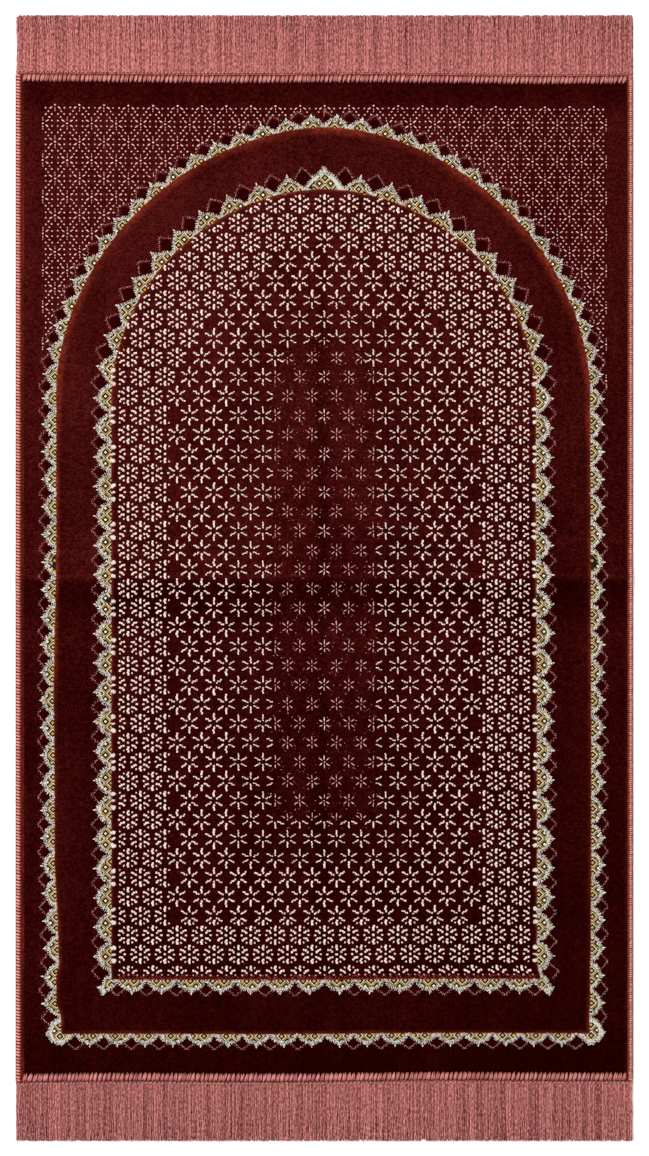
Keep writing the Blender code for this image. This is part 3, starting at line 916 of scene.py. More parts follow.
def thread_tree() -> NodeTree:
    """Tree that lays a thread in an arch, thinner at its ends, over each point."""
    bench, given = new_group(
        "Threads", "GeometryNodeTree",
        TREE_INPUTS | {"Span": (FLOAT, 0.005), "Rise": (FLOAT, 0.004), "Thickness": (FLOAT, 0.0015),
                       "Taper": (FLOAT, 0.5), "End Taper": (FLOAT, 0.5), "End Fade": (FLOAT, 0.0),
                       "Sides": (COUNT, 6), "Steps": (COUNT, 6)}, GEOMETRY)
    half = given["Span"] * 0.5
    back = half * -1.0
    lift = given["Rise"] / 0.75
    arch = bench.get(
        "GeometryNodeCurvePrimitiveBezierSegment",
        {"Resolution": given["Steps"], "Start": bench.join(back, 0.0, 0.0),
         "Start Handle": bench.join(back * 0.9, 0.0, lift),
         "End Handle": bench.join(half * 0.9, 0.0, lift), "End": bench.join(half, 0.0, 0.0)},
        mode="POSITION")
    points = bench.get("GeometryNodeResampleCurve", {"Curve": arch, "Count": given["Steps"] + 1.0})
    along = bench.get("GeometryNodeSplineParameter")
    ends = abs(along * 2.0 - 1.0)
    first = bench.step(along, 0.5, 0.45)
    more = (1.0 - first) * given["End Fade"] + 1.0
    # Painted shade towards the thread's ends, more towards its second end by End Fade.
    marked = store_number(bench, points, "rim", ends ** 1.7 * more)
    taper = first * (given["Taper"] - given["End Taper"]) + given["End Taper"]
    radius = (1.0 - ends ** 1.8 * taper) * (given["Thickness"] * 0.5)
    tube = tube_along(bench, marked, given["Sides"], 1.0, radius)
    return end_tree(bench, given, set_on_points(bench, given["Geometry"], tube))


def yarn_tree() -> NodeTree:
    """Tree that lets a fine yarn run out from each point and wave a little on the floor."""
    bench, given = new_group(
        "Yarns", "GeometryNodeTree",
        TREE_INPUTS | {"Steps": (COUNT, 8), "Sides": (COUNT, 4), "Thickness": (FLOAT, 0.0011),
                       "Sway": (FLOAT, 0.002)}, GEOMETRY)
    line = bench.get("GeometryNodeCurvePrimitiveLine", {"Start": (0, 0, 0), "End": (0, 1, 0)})
    points = bench.get("GeometryNodeResampleCurve", {"Curve": line, "Count": given["Steps"] + 1.0})
    along = bench.get("GeometryNodeSplineParameter")
    yarns = set_on_points(bench, given["Geometry"], store_number(bench, points, "rim", along))
    x, y, _ = bench.parts(bench.get("GeometryNodeInputPosition"))
    tone = read_attribute(bench, "tone")
    clump = bench.noise(bench.join(x * 160.0, y * 28.0, 0.0), 1.0, 1.0)
    single = bench.noise(bench.join(x * 900.0, y * 120.0, tone * 60.0), 1.0, 1.0)
    bend = clump * 2.0 + single * 1.4 - 1.7
    shift = bend * read_attribute(bench, "rim") ** 0.8 * given["Sway"]
    moved = move_points(bench, yarns, bench.join(shift, 0.0, 0.0))
    tubes = tube_along(bench, moved, given["Sides"], given["Thickness"] * 0.5, tone * -0.45 + 1.40)
    return end_tree(bench, given, tubes)


class Workshop:
    """What every part of the rug is made with: the trees, the shader groups and the finishes."""

    def __init__(self) -> None:
        """Build the trees and the groups; finishes are made when first asked for."""
        self.tufts = tuft_tree()
        self.threads = thread_tree()
        self.yarns = yarn_tree()
        self.groups = Groups()
        self.made: dict[str, Material] = {}
        self.pieces: list[Object] = []

    def finish(self, kind: "YarnFinish | PileFinish") -> Material:
        """Get a finish's material."""
        if kind.name not in self.made:
            self.made[kind.name] = kind.make(self.groups)
        return self.made[kind.name]

    def add(self, name: str, mesh: Mesh, kind: YarnFinish, *nodes: str, slot: Slot | None = None) -> None:
        """Add a piece of yarn in its finish."""
        self.pieces.append(add_piece(name, mesh, self.finish(kind), slot or kind.slot, *nodes))

    def grow(self, marks: Marks, seed: int, chances: tuple[float, ...], kind: YarnFinish,
             *nodes: str, tree: NodeTree | None = None, **inputs: object) -> None:
        """Add a piece of what a tree sets on marks.

        Args:
            marks: The charted places, with the piece's name.
            seed: Seed of the small differences between them.
            chances: Most that they drift, sway, spread and change shade.
            kind: The piece's finish.
            nodes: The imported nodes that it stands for.
            tree: The tree; tufts are grown where none is given.
            inputs: The tree's sizes by name.
        """
        points = marks.mesh(seed, *chances)
        mesh = run_tree(tree or self.tufts, points, Finish=self.finish(kind), **inputs)
        self.add(marks.name, mesh, kind, *nodes)


@dataclass
class Plates:
    """Collects flat plates with upright sides, each with its own tone, into one mesh."""

    name: str
    points: list[Size] = field(default_factory=list)
    faces: list[tuple[int, ...]] = field(default_factory=list)
    tones: list[float] = field(default_factory=list)

    def add(self, outline: list[Point], bottom: float, top: float, tone: float) -> None:
        """Add a plate.

        Args:
            outline: Its corners in order, either way round.
            bottom: Height of its underside.
            top: Height of its top.
            tone: Its tone.
        """
        if signed_area(outline) < 0.0:
            outline = outline[::-1]
        count = len(outline)
        first = len(self.points)
        for height in (bottom, top):
            self.points.extend((x, y, height) for x, y in outline)
        self.tones.extend([tone] * (2 * count))
        self.faces.append(tuple(range(first + count, first + 2 * count)))
        self.faces.append(tuple(range(first + count - 1, first - 1, -1)))
        for index in range(count):
            after = (index + 1) % count
            self.faces.append(
                (first + index, first + after, first + count + after, first + count + index))

    def mesh(self) -> Mesh:
        """Make the plates' mesh."""
        mesh = toned_mesh(self.name, self.points, self.faces, self.tones)
        mesh.validate()
        return mesh


def toned_mesh(name: str, points: list, faces: list, tones: list[float]) -> Mesh:
    """Make a mesh of points and faces, with a tone for each point."""
    mesh = bpy.data.meshes.new(name)
    mesh.from_pydata(points, [], faces)
    layer = mesh.attributes.new("tone", "FLOAT", "POINT")
    layer.data.foreach_set("value", np.array(tones, dtype=np.float32))
    return mesh


def between(start: Point, end: Point, share: float) -> Point:
    """Point at a share of the way from one point to another."""
    return start[0] + share * (end[0] - start[0]), start[1] + share * (end[1] - start[1])


def reach_of(start: Point, end: Point) -> Pair:
    """Length and direction of the way from one point to another."""
    x, y = end[0] - start[0], end[1] - start[1]
    return math.hypot(x, y), math.atan2(y, x)


def even_spots(half: float, count: int) -> list[float]:
    """Middles of equal stretches between -half and half."""
    return [(index + 0.5) * 2.0 * half / count - half for index in range(count)]


def signed_area(outline: list[Point]) -> float:
    """Area inside an outline, less than 0 where it runs clockwise."""
    total = 0.0
    for (x0, y0), (x1, y1) in zip(outline, outline[1:] + outline[:1]):
        total += x0 * y1 - x1 * y0
    return 0.5 * total


def draw_in(line: list[Point], distance: float) -> list[Point]:
    """Move a line's inner points towards the side that it bends around; its ends stay."""
    side = math.copysign(distance, signed_area(line))
    moved = [line[0]]
    for (x0, y0), (x, y), (x1, y1) in zip(line, line[1:], line[2:]):
        length = math.hypot(x1 - x0, y1 - y0)
        moved.append((x - side * (y1 - y0) / length, y + side * (x1 - x0) / length))
    return moved + [line[-1]]


def cut_to_diamond(outline: list[Point], centre: Point, half_x: float, half_y: float) -> list[Point]:
    """Keep the part of an outline that lies inside an upright diamond.

    Args:
        outline: Its corners in order.
        centre: The diamond's centre.
        half_x: Half of the diamond's width.
        half_y: Half of its height.

    Returns:
        The corners that are left; none if the two don't meet.
    """
    for turn_x, turn_y in ((1, 1), (-1, 1), (-1, -1), (1, -1)):
        kept: list[Point] = []
        sides = [1.0 - turn_x * (x - centre[0]) / half_x - turn_y * (y - centre[1]) / half_y
                 for x, y in outline]
        for index, here in enumerate(outline):
            inside, was_inside = sides[index], sides[index - 1]
            if inside * was_inside < 0.0:
                kept.append(between(outline[index - 1], here, was_inside / (was_inside - inside)))
            if inside >= 0.0:
                kept.append(here)
        outline = kept
        if len(outline) < 3:
            return []
    return outline


class BaseRun:
    """A line that lace stands on, walked with the outside of the niche on the left."""

    def __init__(self, points: list[Point], share: float = 1.0) -> None:
        """Measure the line through its points, with the share of its full height that lace has."""
        self.share = share
        self.points = np.array(points)
        steps = np.hypot(*np.diff(self.points, axis=0).T)
        self.lengths = np.concatenate(([0.0], np.cumsum(steps)))
        tangents = np.gradient(self.points, self.lengths, axis=0)
        tangents /= np.linalg.norm(tangents, axis=1)[:, None]
        self.outward = np.stack((-tangents[:, 1], tangents[:, 0]), axis=1)

    def place(self, along: float, out: float) -> Point:
        """Find the place at a length along the line and a distance out from it."""
        spot = [float(np.interp(along, self.lengths, column)) for column in self.points.T]
        away = [float(np.interp(along, self.lengths, column)) for column in self.outward.T]
        size = math.hypot(*away)
        return spot[0] + out * away[0] / size, spot[1] + out * away[1] / size

    def length_to(self, height: float) -> float:
        """Length from the line's start to where it comes down to a height of the rug."""
        return float(np.interp(-height, -self.points[:, 1], self.lengths))


ARCH_STEPS = 320
SIDE_STEPS = 60


def niche_run(niche: Niche) -> BaseRun:
    """Line from a niche's point over the arch and down its right side to the foot."""
    angles = np.linspace(0.5 * math.pi, 0.0, ARCH_STEPS)
    points = [niche.arch_point(float(angle)) for angle in angles]
    side = np.linspace(niche.spring_y, niche.foot_y, SIDE_STEPS)[1:]
    points.extend((niche.centre_x + niche.half_width, float(y)) for y in side)
    return BaseRun(points)


def foot_run(niche: Niche, share: float) -> BaseRun:
    """Line from the right corner of a niche's foot to its middle."""
    return BaseRun(
        [(niche.centre_x + niche.half_width, niche.foot_y),
         (niche.centre_x + 0.5 * niche.half_width, niche.foot_y),
         (niche.centre_x, niche.foot_y)], share)


@dataclass
class LaceBand:
    """A row of woven scallops around a niche, each with a patch of lattice and a picot.

    Rim and core are outlines of half a scallop from its edge to its middle, as shares of its
    half width and of its height; round the arch the scallops are taller and more pointed, and
    along the foot they are lower. The lattice is one upright net of gold and white diamonds
    behind all the scallops; its place is that of one gold diamond, from the niche's middle.
    """

    name: str
    niche: Niche
    height: float
    start: float
    stops: tuple[tuple[float, int], ...]
    foot_start: float
    foot_count: int
    foot_share: float
    corner: tuple[Point, ...]
    corner_core: tuple[Point, ...]
    picot: Size
    lattice_place: Point
    lattice_pitch: Point
    finial: tuple[Point, ...] = ()
    finial_core: tuple[Point, ...] = ()
    apex_lift: float = 0.0
    lattice_aside: float = 0.0
    foot_lattice_y: float = 0.0
    arch_picot: Size = (0.0022, 0.0004, 0.0010)
    seed: int = 1
    rim: tuple[Point, ...] = (
        (1.0, 0.06), (0.94, 0.14), (0.89, 0.29), (0.82, 0.42), (0.72, 0.54), (0.58, 0.65), (0.42, 0.73),
        (0.25, 0.80), (0.11, 0.88), (0.0, 0.98))
    arch_rim: tuple[Point, ...] = (
        (1.0, 0.13), (0.90, 0.20), (0.80, 0.28), (0.67, 0.39), (0.52, 0.50), (0.37, 0.59), (0.24, 0.67),
        (0.14, 0.74), (0.07, 0.81), (0.0, 0.90))
    core: tuple[Point, ...] = ((0.80, -0.02), (0.75, 0.20), (0.60, 0.41), (0.35, 0.57), (0.0, 0.66))
    arch_core: tuple[Point, ...] = ((0.88, -0.02), (0.74, 0.17), (0.53, 0.36), (0.28, 0.52), (0.0, 0.64))
    arch_rise: float = 0.0016
    arch_start: float = -0.0300
    arch_full: float = 0.0500
    floor: float = PILE_TOP - 0.0009
    step: float = 0.0002
    rim_spacing: float = 0.0020
    rim_inset: float = 0.0008
    knot: Size = (0.0036, 0.0013, 0.0016)
    horn: Size = (0.0050, 0.0016, 0.0016)
    horn_out: float = 0.0006
    dot: float = 0.0017
    dot_size: float = 0.0014
    fuzz_spacing: float = 0.0012
    fuzz_length: Pair = (0.0010, 0.0030)
    fuzz_width: Pair = (0.0008, 0.0014)
    foot_fuzz: int = 0
    foot_fuzz_reach: Pair = (-0.0010, 0.0048)
    foot_fuzz_inset: float = 0.0040
    foot_fuzz_size: Pair = (0.0007, 0.0018)
    shade_half: float = 0.0064
    shade_insets: Size = (0.0008, 0.0014, 0.0042)
    picot_feet: tuple[Point, ...] = ((0.0003, 0.0024), (0.0016, 0.0034))
    flecks: int = 25
    fleck_size: Pair = (0.0008, 0.0017)
    smallest_piece: float = 2.0e-7

    def __post_init__(self) -> None:
        """Lay out every scallop on the right half, and their likes on the left."""
        self.rims: list[list[Point]] = []
        self.bases: list[list[Point]] = []
        self.cores: list[list[Point]] = []
        self.valleys: list[tuple[BaseRun, float]] = []
        self.tips: list[Size] = []
        run = niche_run(self.niche)
        along = self.start
        for stop, count in self.stops:
            end = run.length_to(stop)
            pitch = (end - along) / count
            for index in range(count):
                self.add_scallop(run, along + index * pitch, pitch)
                self.valleys.append((run, along + index * pitch))
            along = end
        self.valleys.append((run, along))
        foot = foot_run(self.niche, self.foot_share)
        pitch = (foot.lengths[-1] - self.foot_start) / self.foot_count
        for index in range(self.foot_count):
            self.add_scallop(foot, self.foot_start + index * pitch, pitch)
            self.valleys.append((foot, self.foot_start + index * pitch))
        self.add_corner(run.lengths[-1] - along, self.valley_point(run, along),
                        self.valley_point(foot, self.foot_start))
        for shapes in (self.rims, self.bases, self.cores):
            shapes.extend([[self.mirror(point) for point in shape] for shape in shapes])
        self.tips.extend([(*self.mirror((x, y)), math.pi - way) for x, y, way in self.tips])
        if self.finial:
            self.add_finial(run, self.valley_point(run, self.start))

    def mirror(self, point: Point) -> Point:
        """Find a point's like on the other side of the niche's middle."""
        return 2.0 * self.niche.centre_x - point[0], point[1]

    def on_arch(self, run: BaseRun, along: float) -> float:
        """Share of the way from the straight sides' scallops to the arch's."""
        over_spring = run.place(along, 0.0)[1] - self.niche.spring_y
        return float(ramp(np.array(over_spring), self.arch_start, self.arch_full))

    def valley_point(self, run: BaseRun, along: float) -> Point:
        """Place of the rim in the valley between two scallops."""
        return self.raised(run, along, self.rim[0][1], self.arch_rim[0][1])

    def raised(self, run: BaseRun, along: float, straight: float, arched: float) -> Point:
        """Find a place by its height share on a straight side and on the arch."""
        share = self.on_arch(run, along)
        up = (1.0 - share) * straight * self.height + share * arched * (self.height + self.arch_rise)
        return run.place(along, up * run.share)

    def add_scallop(self, run: BaseRun, start: float, pitch: float) -> None:
        """Lay out a scallop from one valley to the next."""
        half = 0.5 * pitch
        middle = start + half
        bend = self.on_arch(run, middle)
        for straight, arched, shapes in (
                (self.rim, self.arch_rim, self.rims), (self.core, self.arch_core, self.cores)):
            pairs = list(zip(straight, arched))
            walk = [(-1.0, pair) for pair in pairs] + [(1.0, pair) for pair in pairs[-2::-1]]
            shape = []
            for side, (plain, high) in walk:
                across = (1.0 - bend) * plain[0] + bend * high[0]
                shape.append(self.raised(run, middle + side * across * half, plain[1], high[1]))
            shapes.append(shape)
        self.bases.append([run.place(start + share * pitch, 0.0) for share in (0, 0.25, 0.5, 0.75, 1)])
        tip = self.raised(run, middle, self.rim[-1][1], self.arch_rim[-1][1])
        foot = run.place(middle, 0.0)
        self.tips.append((*tip, math.atan2(tip[1] - foot[1], tip[0] - foot[0])))

    def add_corner(self, rise: float, above: Point, beside: Point) -> None:
        """Lay out the double scallop at the right corner of the foot.

        Args:
            rise: Height of the last valley over the foot.
            above: The rim's point in that valley.
            beside: The rim's point in the foot's first valley.
        """
        corner_x = self.niche.centre_x + self.niche.half_width
        rim, core = ([(corner_x + x, self.niche.foot_y + y) for x, y in shape]
                     for shape in (self.corner, self.corner_core))
        self.rims.append([above, *rim, beside])
        self.cores.append(core)
        self.bases.append([(corner_x, self.niche.foot_y + rise), (corner_x, self.niche.foot_y),
                           (corner_x - self.foot_start, self.niche.foot_y)])

    def add_finial(self, run: BaseRun, beside: Point) -> None:
        """Lay out the taller scallop on the niche's point, up to the valley beside it."""
        top = self.niche.spring_y + self.niche.rise
        for shape, shapes, ends in (
                (self.finial, self.rims, [beside]), (self.finial_core, self.cores, [])):
            right = ends + [(self.niche.centre_x + x, top + y) for x, y in shape]
            left = [self.mirror(point) for point in right]
            shapes.append(left + right[-2::-1])
        right_base = [run.place(share * self.start, 0.0) for share in (0.0, 0.5, 1.0)]
        self.bases.append([self.mirror(point) for point in right_base[:0:-1]] + right_base)

    def recess(self) -> list[list[Point]]:
        """Outlines of the area that is woven lower than the pile, one for each scallop."""
        return [base + rim[::-1] for base, rim in zip(self.bases, self.rims)]

    def ground_plates(self) -> Plates:
        """Flat woven ground of all scallops."""
        chance = np.random.default_rng(self.seed)
        plates = Plates(f"lace_{self.name}_ground")
        for base, rim in zip(self.bases, self.rims):
            outline = base + draw_in(rim, self.rim_inset)[::-1]
            plates.add(outline, self.floor - 0.0006, self.floor + self.step, chance.uniform(0.35, 0.75))
        return plates

    def fleck_marks(self) -> Marks:
        """Dark knots scattered over the ground between a scallop's core and its rim."""
        chance = np.random.default_rng(self.seed + 4)
        marks = Marks(f"lace_{self.name}_flecks")
        for core, rim in zip(self.cores, self.rims):
            middle = np.mean(np.array(core), axis=0)
            for _ in range(self.flecks):
                edge = np.array(rim[chance.integers(1, len(rim) - 1)])
                spot = middle + chance.uniform(0.45, 0.90) * (edge - middle)
                size = chance.uniform(*self.fleck_size)
                marks.add(float(spot[0]), float(spot[1]), self.floor, chance.uniform(0.0, math.pi),
                          (1.5 * size, size, 3.0 * self.step), chance.uniform(0.0, 1.0))
        return marks

    def lattice_plates(self) -> dict[str, Plates]:
        """Black patches of all scallops, with the gold and white diamonds woven on them."""
        chance = np.random.default_rng(self.seed + 1)
        layers = {shade: Plates(f"lace_{self.name}_{shade}") for shade in ("black", "white", "gold")}
        rings = {"gold": ((0.90, "white"), (0.71, "black"), (0.29, "gold")),
                 "white": ((0.91, "gold"), (0.71, "black"), (0.26, "white"))}
        base = self.floor + self.step
        for core in self.cores:
            layers["black"].add(core, base - self.step, base + self.step, chance.uniform(0.2, 0.8))
            for kind, centre in self.diamonds_near(core):
                for level, (share, shade) in enumerate(rings[kind]):
                    piece = cut_to_diamond(core, centre, share * 0.5 * self.lattice_pitch[0],
                                           share * 0.5 * self.lattice_pitch[1])
                    if len(piece) > 2 and abs(signed_area(piece)) > self.smallest_piece:
                        top = base + (level + 2) * self.step
                        layers[shade].add(piece, base, top, chance.uniform(0.3, 0.9))
        return layers

    def diamonds_near(self, shape: list[Point]) -> list[tuple[str, Point]]:
        """Find the diamonds of the net that may meet a shape."""
        found = []
        pitch_x, pitch_y = self.lattice_pitch
        side = 1.0 if shape[0][0] > self.niche.centre_x else -1.0
        origin_x = self.niche.centre_x + self.lattice_aside + side * self.lattice_place[0]
        on_foot = self.foot_lattice_y and max(y for _, y in shape) < self.niche.foot_y + 0.001
        origin_y = self.foot_lattice_y if on_foot else self.lattice_place[1]
        for kind, shift in (("gold", 0.0), ("white", 0.5)):
            columns = [(x - origin_x) / pitch_x - side * shift for x, _ in shape]
            rows = [(y - origin_y) / pitch_y - shift for _, y in shape]
            for column in range(math.floor(min(columns)), math.ceil(max(columns)) + 1):
                for row in range(math.floor(min(rows)), math.ceil(max(rows)) + 1):
                    found.append((kind, (origin_x + (column + side * shift) * pitch_x,
                                         origin_y + (row + shift) * pitch_y)))
        return found

    def edge_marks(self) -> Marks:
        """Knots along the rims, which stand out from them."""
        marks = Marks(f"lace_{self.name}_edge")
        for rim in self.rims:
            left_over = 0.0
            turn_sign = -1.0 if signed_area(rim + [rim[0]]) > 0.0 else 1.0
            for start, end in zip(rim, rim[1:]):
                length, way = reach_of(start, end)
                spot = left_over
                while spot < length:
                    marks.add(*between(start, end, spot / length), self.floor,
                              way + turn_sign * 0.5 * math.pi, self.knot)
                    spot += self.rim_spacing
                left_over = spot - length
        return marks

    def horn_marks(self) -> Marks:
        """Pointed stitches that stand straight out from the scallops' tips."""
        marks = Marks(f"lace_{self.name}_horns")
        for x, y, way in self.tips:
            marks.add(x + self.horn_out * math.cos(way), y + self.horn_out * math.sin(way), self.floor,
                      way, self.horn, 0.9)
        return marks

    def fuzz_marks(self) -> Marks:
        """Tufts of pile that lean over the lace all along its base, in the pile's red with a painted
        highlight of random strength where their edges catch the light.
        """
        chance = np.random.default_rng(self.seed + 6)
        marks = Marks(f"lace_{self.name}_fuzz")
        for base in self.bases:
            for start, end in zip(base, base[1:]):
                length, way = reach_of(start, end)
                count = max(1, round(length / self.fuzz_spacing))
                for index in range(count):
                    place = between(start, end, (index + chance.uniform(0.1, 0.9)) / count)
                    turn = way + 0.5 * math.pi + chance.uniform(-0.6, 0.6)
                    size = (chance.uniform(*self.fuzz_length), chance.uniform(*self.fuzz_width), 0.0008)
                    marks.add(*place, PILE_TOP - 0.0006, turn, size, chance.uniform(0.05, 1.0))
        return marks

    def add_foot_fuzz(self, marks: Marks) -> None:
        """Scatter short tufts along the foot, where the pile runs into the lace; their brighter red is
        painted highlight of the pile's edge.
        """
        chance = np.random.default_rng(self.seed + 10)
        half = self.niche.half_width - self.foot_fuzz_inset
        for _ in range(self.foot_fuzz):
            size = chance.uniform(*self.foot_fuzz_size)
            x = self.niche.centre_x + chance.uniform(-1.0, 1.0) * half
            y = self.niche.foot_y + chance.uniform(*self.foot_fuzz_reach)
            marks.add(x, y, PILE_TOP - 0.0003, chance.uniform(1.0, 2.1), (1.6 * size, size, 0.0007),
                      chance.uniform(0.0, 0.9))

    def spot(self, run: BaseRun, along: float, out: float, mirrored: bool) -> Point:
        """Find a place on a run, or its like on the other side of the niche's middle."""
        point = run.place(along, out)
        return self.mirror(point) if mirrored else point

    def picot_marks(self) -> tuple[Marks, Marks, Plates]:
        """Dotted arms of all picots, their feet in the valleys, and the dark diamonds between."""
        dots = Marks(f"lace_{self.name}_picots")
        feet = Marks(f"lace_{self.name}_picot_feet")
        shades = Plates(f"lace_{self.name}_shades")
        for run, along in self.valleys:
            on_middle = abs(run.place(along, 0.0)[0] - self.niche.centre_x) < 1.0e-6
            if on_middle and self.finial:
                continue
            arched = self.on_arch(run, along)
            tip, spread, foot = (
                plain + arched * more for plain, more in zip(self.picot, self.arch_picot))
            tip += self.apex_lift if along == self.start else 0.0
            sizes = (tip * run.share, spread, foot * run.share)
            valley = reach_of(run.place(along, 0.0), self.valley_point(run, along))[0]
            for mirrored in (False,) if on_middle else (False, True):
                for arm in (-1.0, 1.0):
                    self.add_arm(dots, run, along, arm, sizes, mirrored)
                self.add_shade(shades, run, along, (valley, sizes[2], sizes[0]), mirrored)
                self.add_feet(feet, run, along, valley, mirrored)
        return dots, feet, shades

    def add_arm(self, dots: Marks, run: BaseRun, along: float, arm: float,
                sizes: Size, mirrored: bool) -> None:
        """Add the dots of one arm of a picot, from its tip down to the scallop.

        Args:
            dots: Where the dots go.
            run: The line that the lace stands on.
            along: Length along it to the picot's valley.
            arm: -1 for the arm before the valley, 1 for the one after it.
            sizes: Height of the tip, width of the arm and height of its foot.
            mirrored: Whether the picot is the like on the left.
        """
        tip, spread, foot = sizes
        height = PILE_TOP - 0.0002
        count = max(2, round(math.hypot(spread, tip - foot) / self.dot))
        for index in range(count):
            share = index / (count - 1)
            aside, out = share * spread, tip + share * (foot - tip)
            spot = self.spot(run, along + arm * aside, out, mirrored)
            dots.add(
                *spot, height, 0.0, (self.dot_size, self.dot_size, 0.0008), 0.55 if index % 2 else 0.85)
            if index % 2:
                spot = self.spot(run, along + arm * (aside + 0.0008), out + 0.0012, mirrored)
                small = 0.8 * self.dot_size
                dots.add(*spot, height, 0.0, (small, small, 0.0007), 0.45)

    def add_shade(
            self, shades: Plates, run: BaseRun, along: float, heights: Size, mirrored: bool) -> None:
        """Add the dark diamond between a picot's arms.

        Args:
            shades: Where the diamond goes.
            run: The line that the lace stands on.
            along: Length along it to the picot's valley.
            heights: Heights of the valley, of the arms' feet and of the picot's tip.
            mirrored: Whether the picot is the like on the left.
        """
        over, under_foot, under_tip = self.shade_insets
        low, level, high = heights[0] + over, heights[1] - under_foot, heights[2] - under_tip
        side = [(0.0, low), (0.62, 0.62 * low + 0.38 * level), (1.0, level),
                (0.62, 0.35 * level + 0.65 * high), (0.0, high)]
        corners = side + [(-across, out) for across, out in side[-2:0:-1]]
        shape = [
            self.spot(run, along + across * self.shade_half, out, mirrored) for across, out in corners]
        shades.add(shape, self.floor - 0.0002, PILE_TOP + 0.0002, 0.2)

    def add_feet(self, feet: Marks, run: BaseRun, along: float, valley: float, mirrored: bool) -> None:
        """Add the knots of a picot's foot, just over its valley; their bright red is painted highlight of
        the pile's edge there.
        """
        inward = reach_of(run.place(along, valley), run.place(along, valley - 0.0010))[1]
        turn = inward + 0.5 * math.pi
        turn = math.pi - turn if mirrored else turn
        for out, width in self.picot_feet:
            spot = self.spot(run, along, valley + out, mirrored)
            feet.add(*spot, PILE_TOP - 0.0003, turn, (width, 0.0018, 0.0008), 0.6)

    def make(self, shop: Workshop) -> None:
        """Make and dress the band's pieces."""
        dots, feet, shades = self.picot_marks()
        self.add_foot_fuzz(feet)
        plates = {"ground": self.ground_plates()} | self.lattice_plates()
        for layer, kind in (
                ("ground", LACE_YARN), ("black", DARK_YARN), ("white", WHITE_YARN), ("gold", GOLD_YARN)):
            shop.add(plates[layer].name, plates[layer].mesh(), kind)
        for marks, step, chances, kind, sides, ragged in (
                (self.edge_marks(), 2, (0.0005, 0.5, 0.45, 0.35), EDGE_YARN, 5, 0.0002),
                (self.horn_marks(), 7, (0.0002, 0.12, 0.15, 0.1), EDGE_YARN, 6, 0.0001),
                (self.fuzz_marks(), 8, (), LEANING_PILE_HIGHLIGHT, 4, 0.0001),
                (self.fleck_marks(), 5, (), FLECK_YARN, 4, 0.0001),
                (feet, 9, (0.0003, 0.3, 0.3, 0.3), VALLEY_PILE_HIGHLIGHT, 5, 0.0002)):
            shop.grow(marks, self.seed + step, chances, kind, Sides=sides, Ragged=ragged)
        shop.add(shades.name, shades.mesh(), SHADED_PILE)
        shop.grow(dots, self.seed + 3, (0.0004, 0.2, 0.30, 0.35), PICOT_YARN, Sides=5, Ragged=0.0001)


INNER_LACE = LaceBand(
    "inner", INNER_NICHE, 0.01815, 0.02145, ((0.14883, 12), (-0.4323, 18)), 0.0057, 7, 0.82,
    corner=((0.0030, 0.0040), (0.0077, 0.0013), (0.0099, -0.0055), (0.0152, -0.0097), (0.0116, -0.0132),
            (0.0110, -0.0182), (0.0072, -0.0149), (-0.0013, -0.0084), (-0.0057, -0.0033)),
    corner_core=((0.0010, 0.0010), (0.0050, 0.0000), (0.0080, -0.0060), (0.0090, -0.0100),
                 (0.0060, -0.0105), (-0.0010, -0.0060), (-0.0030, -0.0020)),
    picot=(0.0216, 0.0078, 0.0140), lattice_place=(0.0, 0.4399), lattice_pitch=(0.01238, 0.01232),
    lattice_aside=0.0010, foot_lattice_y=-0.4430, foot_fuzz=620,
    finial=((0.0158, 0.0095), (0.0112, 0.0148), (0.0066, 0.0172), (0.0040, 0.0202), (0.0018, 0.0232),
            (0.0, 0.0258)),
    finial_core=((0.0150, 0.0005), (0.0128, 0.0040), (0.0095, 0.0098), (0.0050, 0.0138), (0.0, 0.0165)),
    apex_lift=0.0020, seed=100)

OUTER_LACE = LaceBand(
    "outer", OUTER_NICHE, 0.0146, 0.0, ((0.3752, 10), (0.18425, 8), (-0.4829, 22)), 0.0158, 9, 0.89,
    corner=((0.0044, 0.0165), (0.0099, 0.0127), (0.0121, 0.0088), (0.0138, 0.0044),
            (0.0167, 0.0010), (0.0129, -0.0039), (0.0110, -0.0083), (0.0066, -0.0094),
            (0.0018, -0.0125), (-0.0017, -0.0110), (-0.0050, -0.0083), (-0.0094, -0.0050),
            (-0.0138, -0.0009)),
    corner_core=((0.0010, 0.0120), (0.0050, 0.0110), (0.0090, 0.0060), (0.0105, 0.0010),
                 (0.0080, -0.0050), (0.0030, -0.0075), (-0.0020, -0.0065), (-0.0080, -0.0010),
                 (-0.0010, 0.0000)),
    picot=(0.0190, 0.0078, 0.0124), lattice_place=(0.29525, -0.0165), lattice_pitch=(0.01232, 0.01188),
    seed=200, arch_picot=(0.0006, 0.0, 0.0002), arch_rise=0.0004, shade_half=0.0047,
    rim=((1.0, 0.07), (0.93, 0.15), (0.88, 0.30), (0.80, 0.43), (0.70, 0.54), (0.56, 0.64),
         (0.42, 0.71), (0.25, 0.79), (0.11, 0.88), (0.0, 0.98)),
    arch_rim=((1.0, 0.18), (0.91, 0.23), (0.82, 0.32), (0.71, 0.42), (0.58, 0.51), (0.44, 0.60),
              (0.30, 0.67), (0.18, 0.73), (0.09, 0.79), (0.0, 0.87)),
    core=((0.76, -0.02), (0.70, 0.20), (0.54, 0.41), (0.31, 0.56), (0.0, 0.64)),
    arch_core=((0.78, -0.02), (0.66, 0.19), (0.46, 0.39), (0.22, 0.53), (0.0, 0.62)))


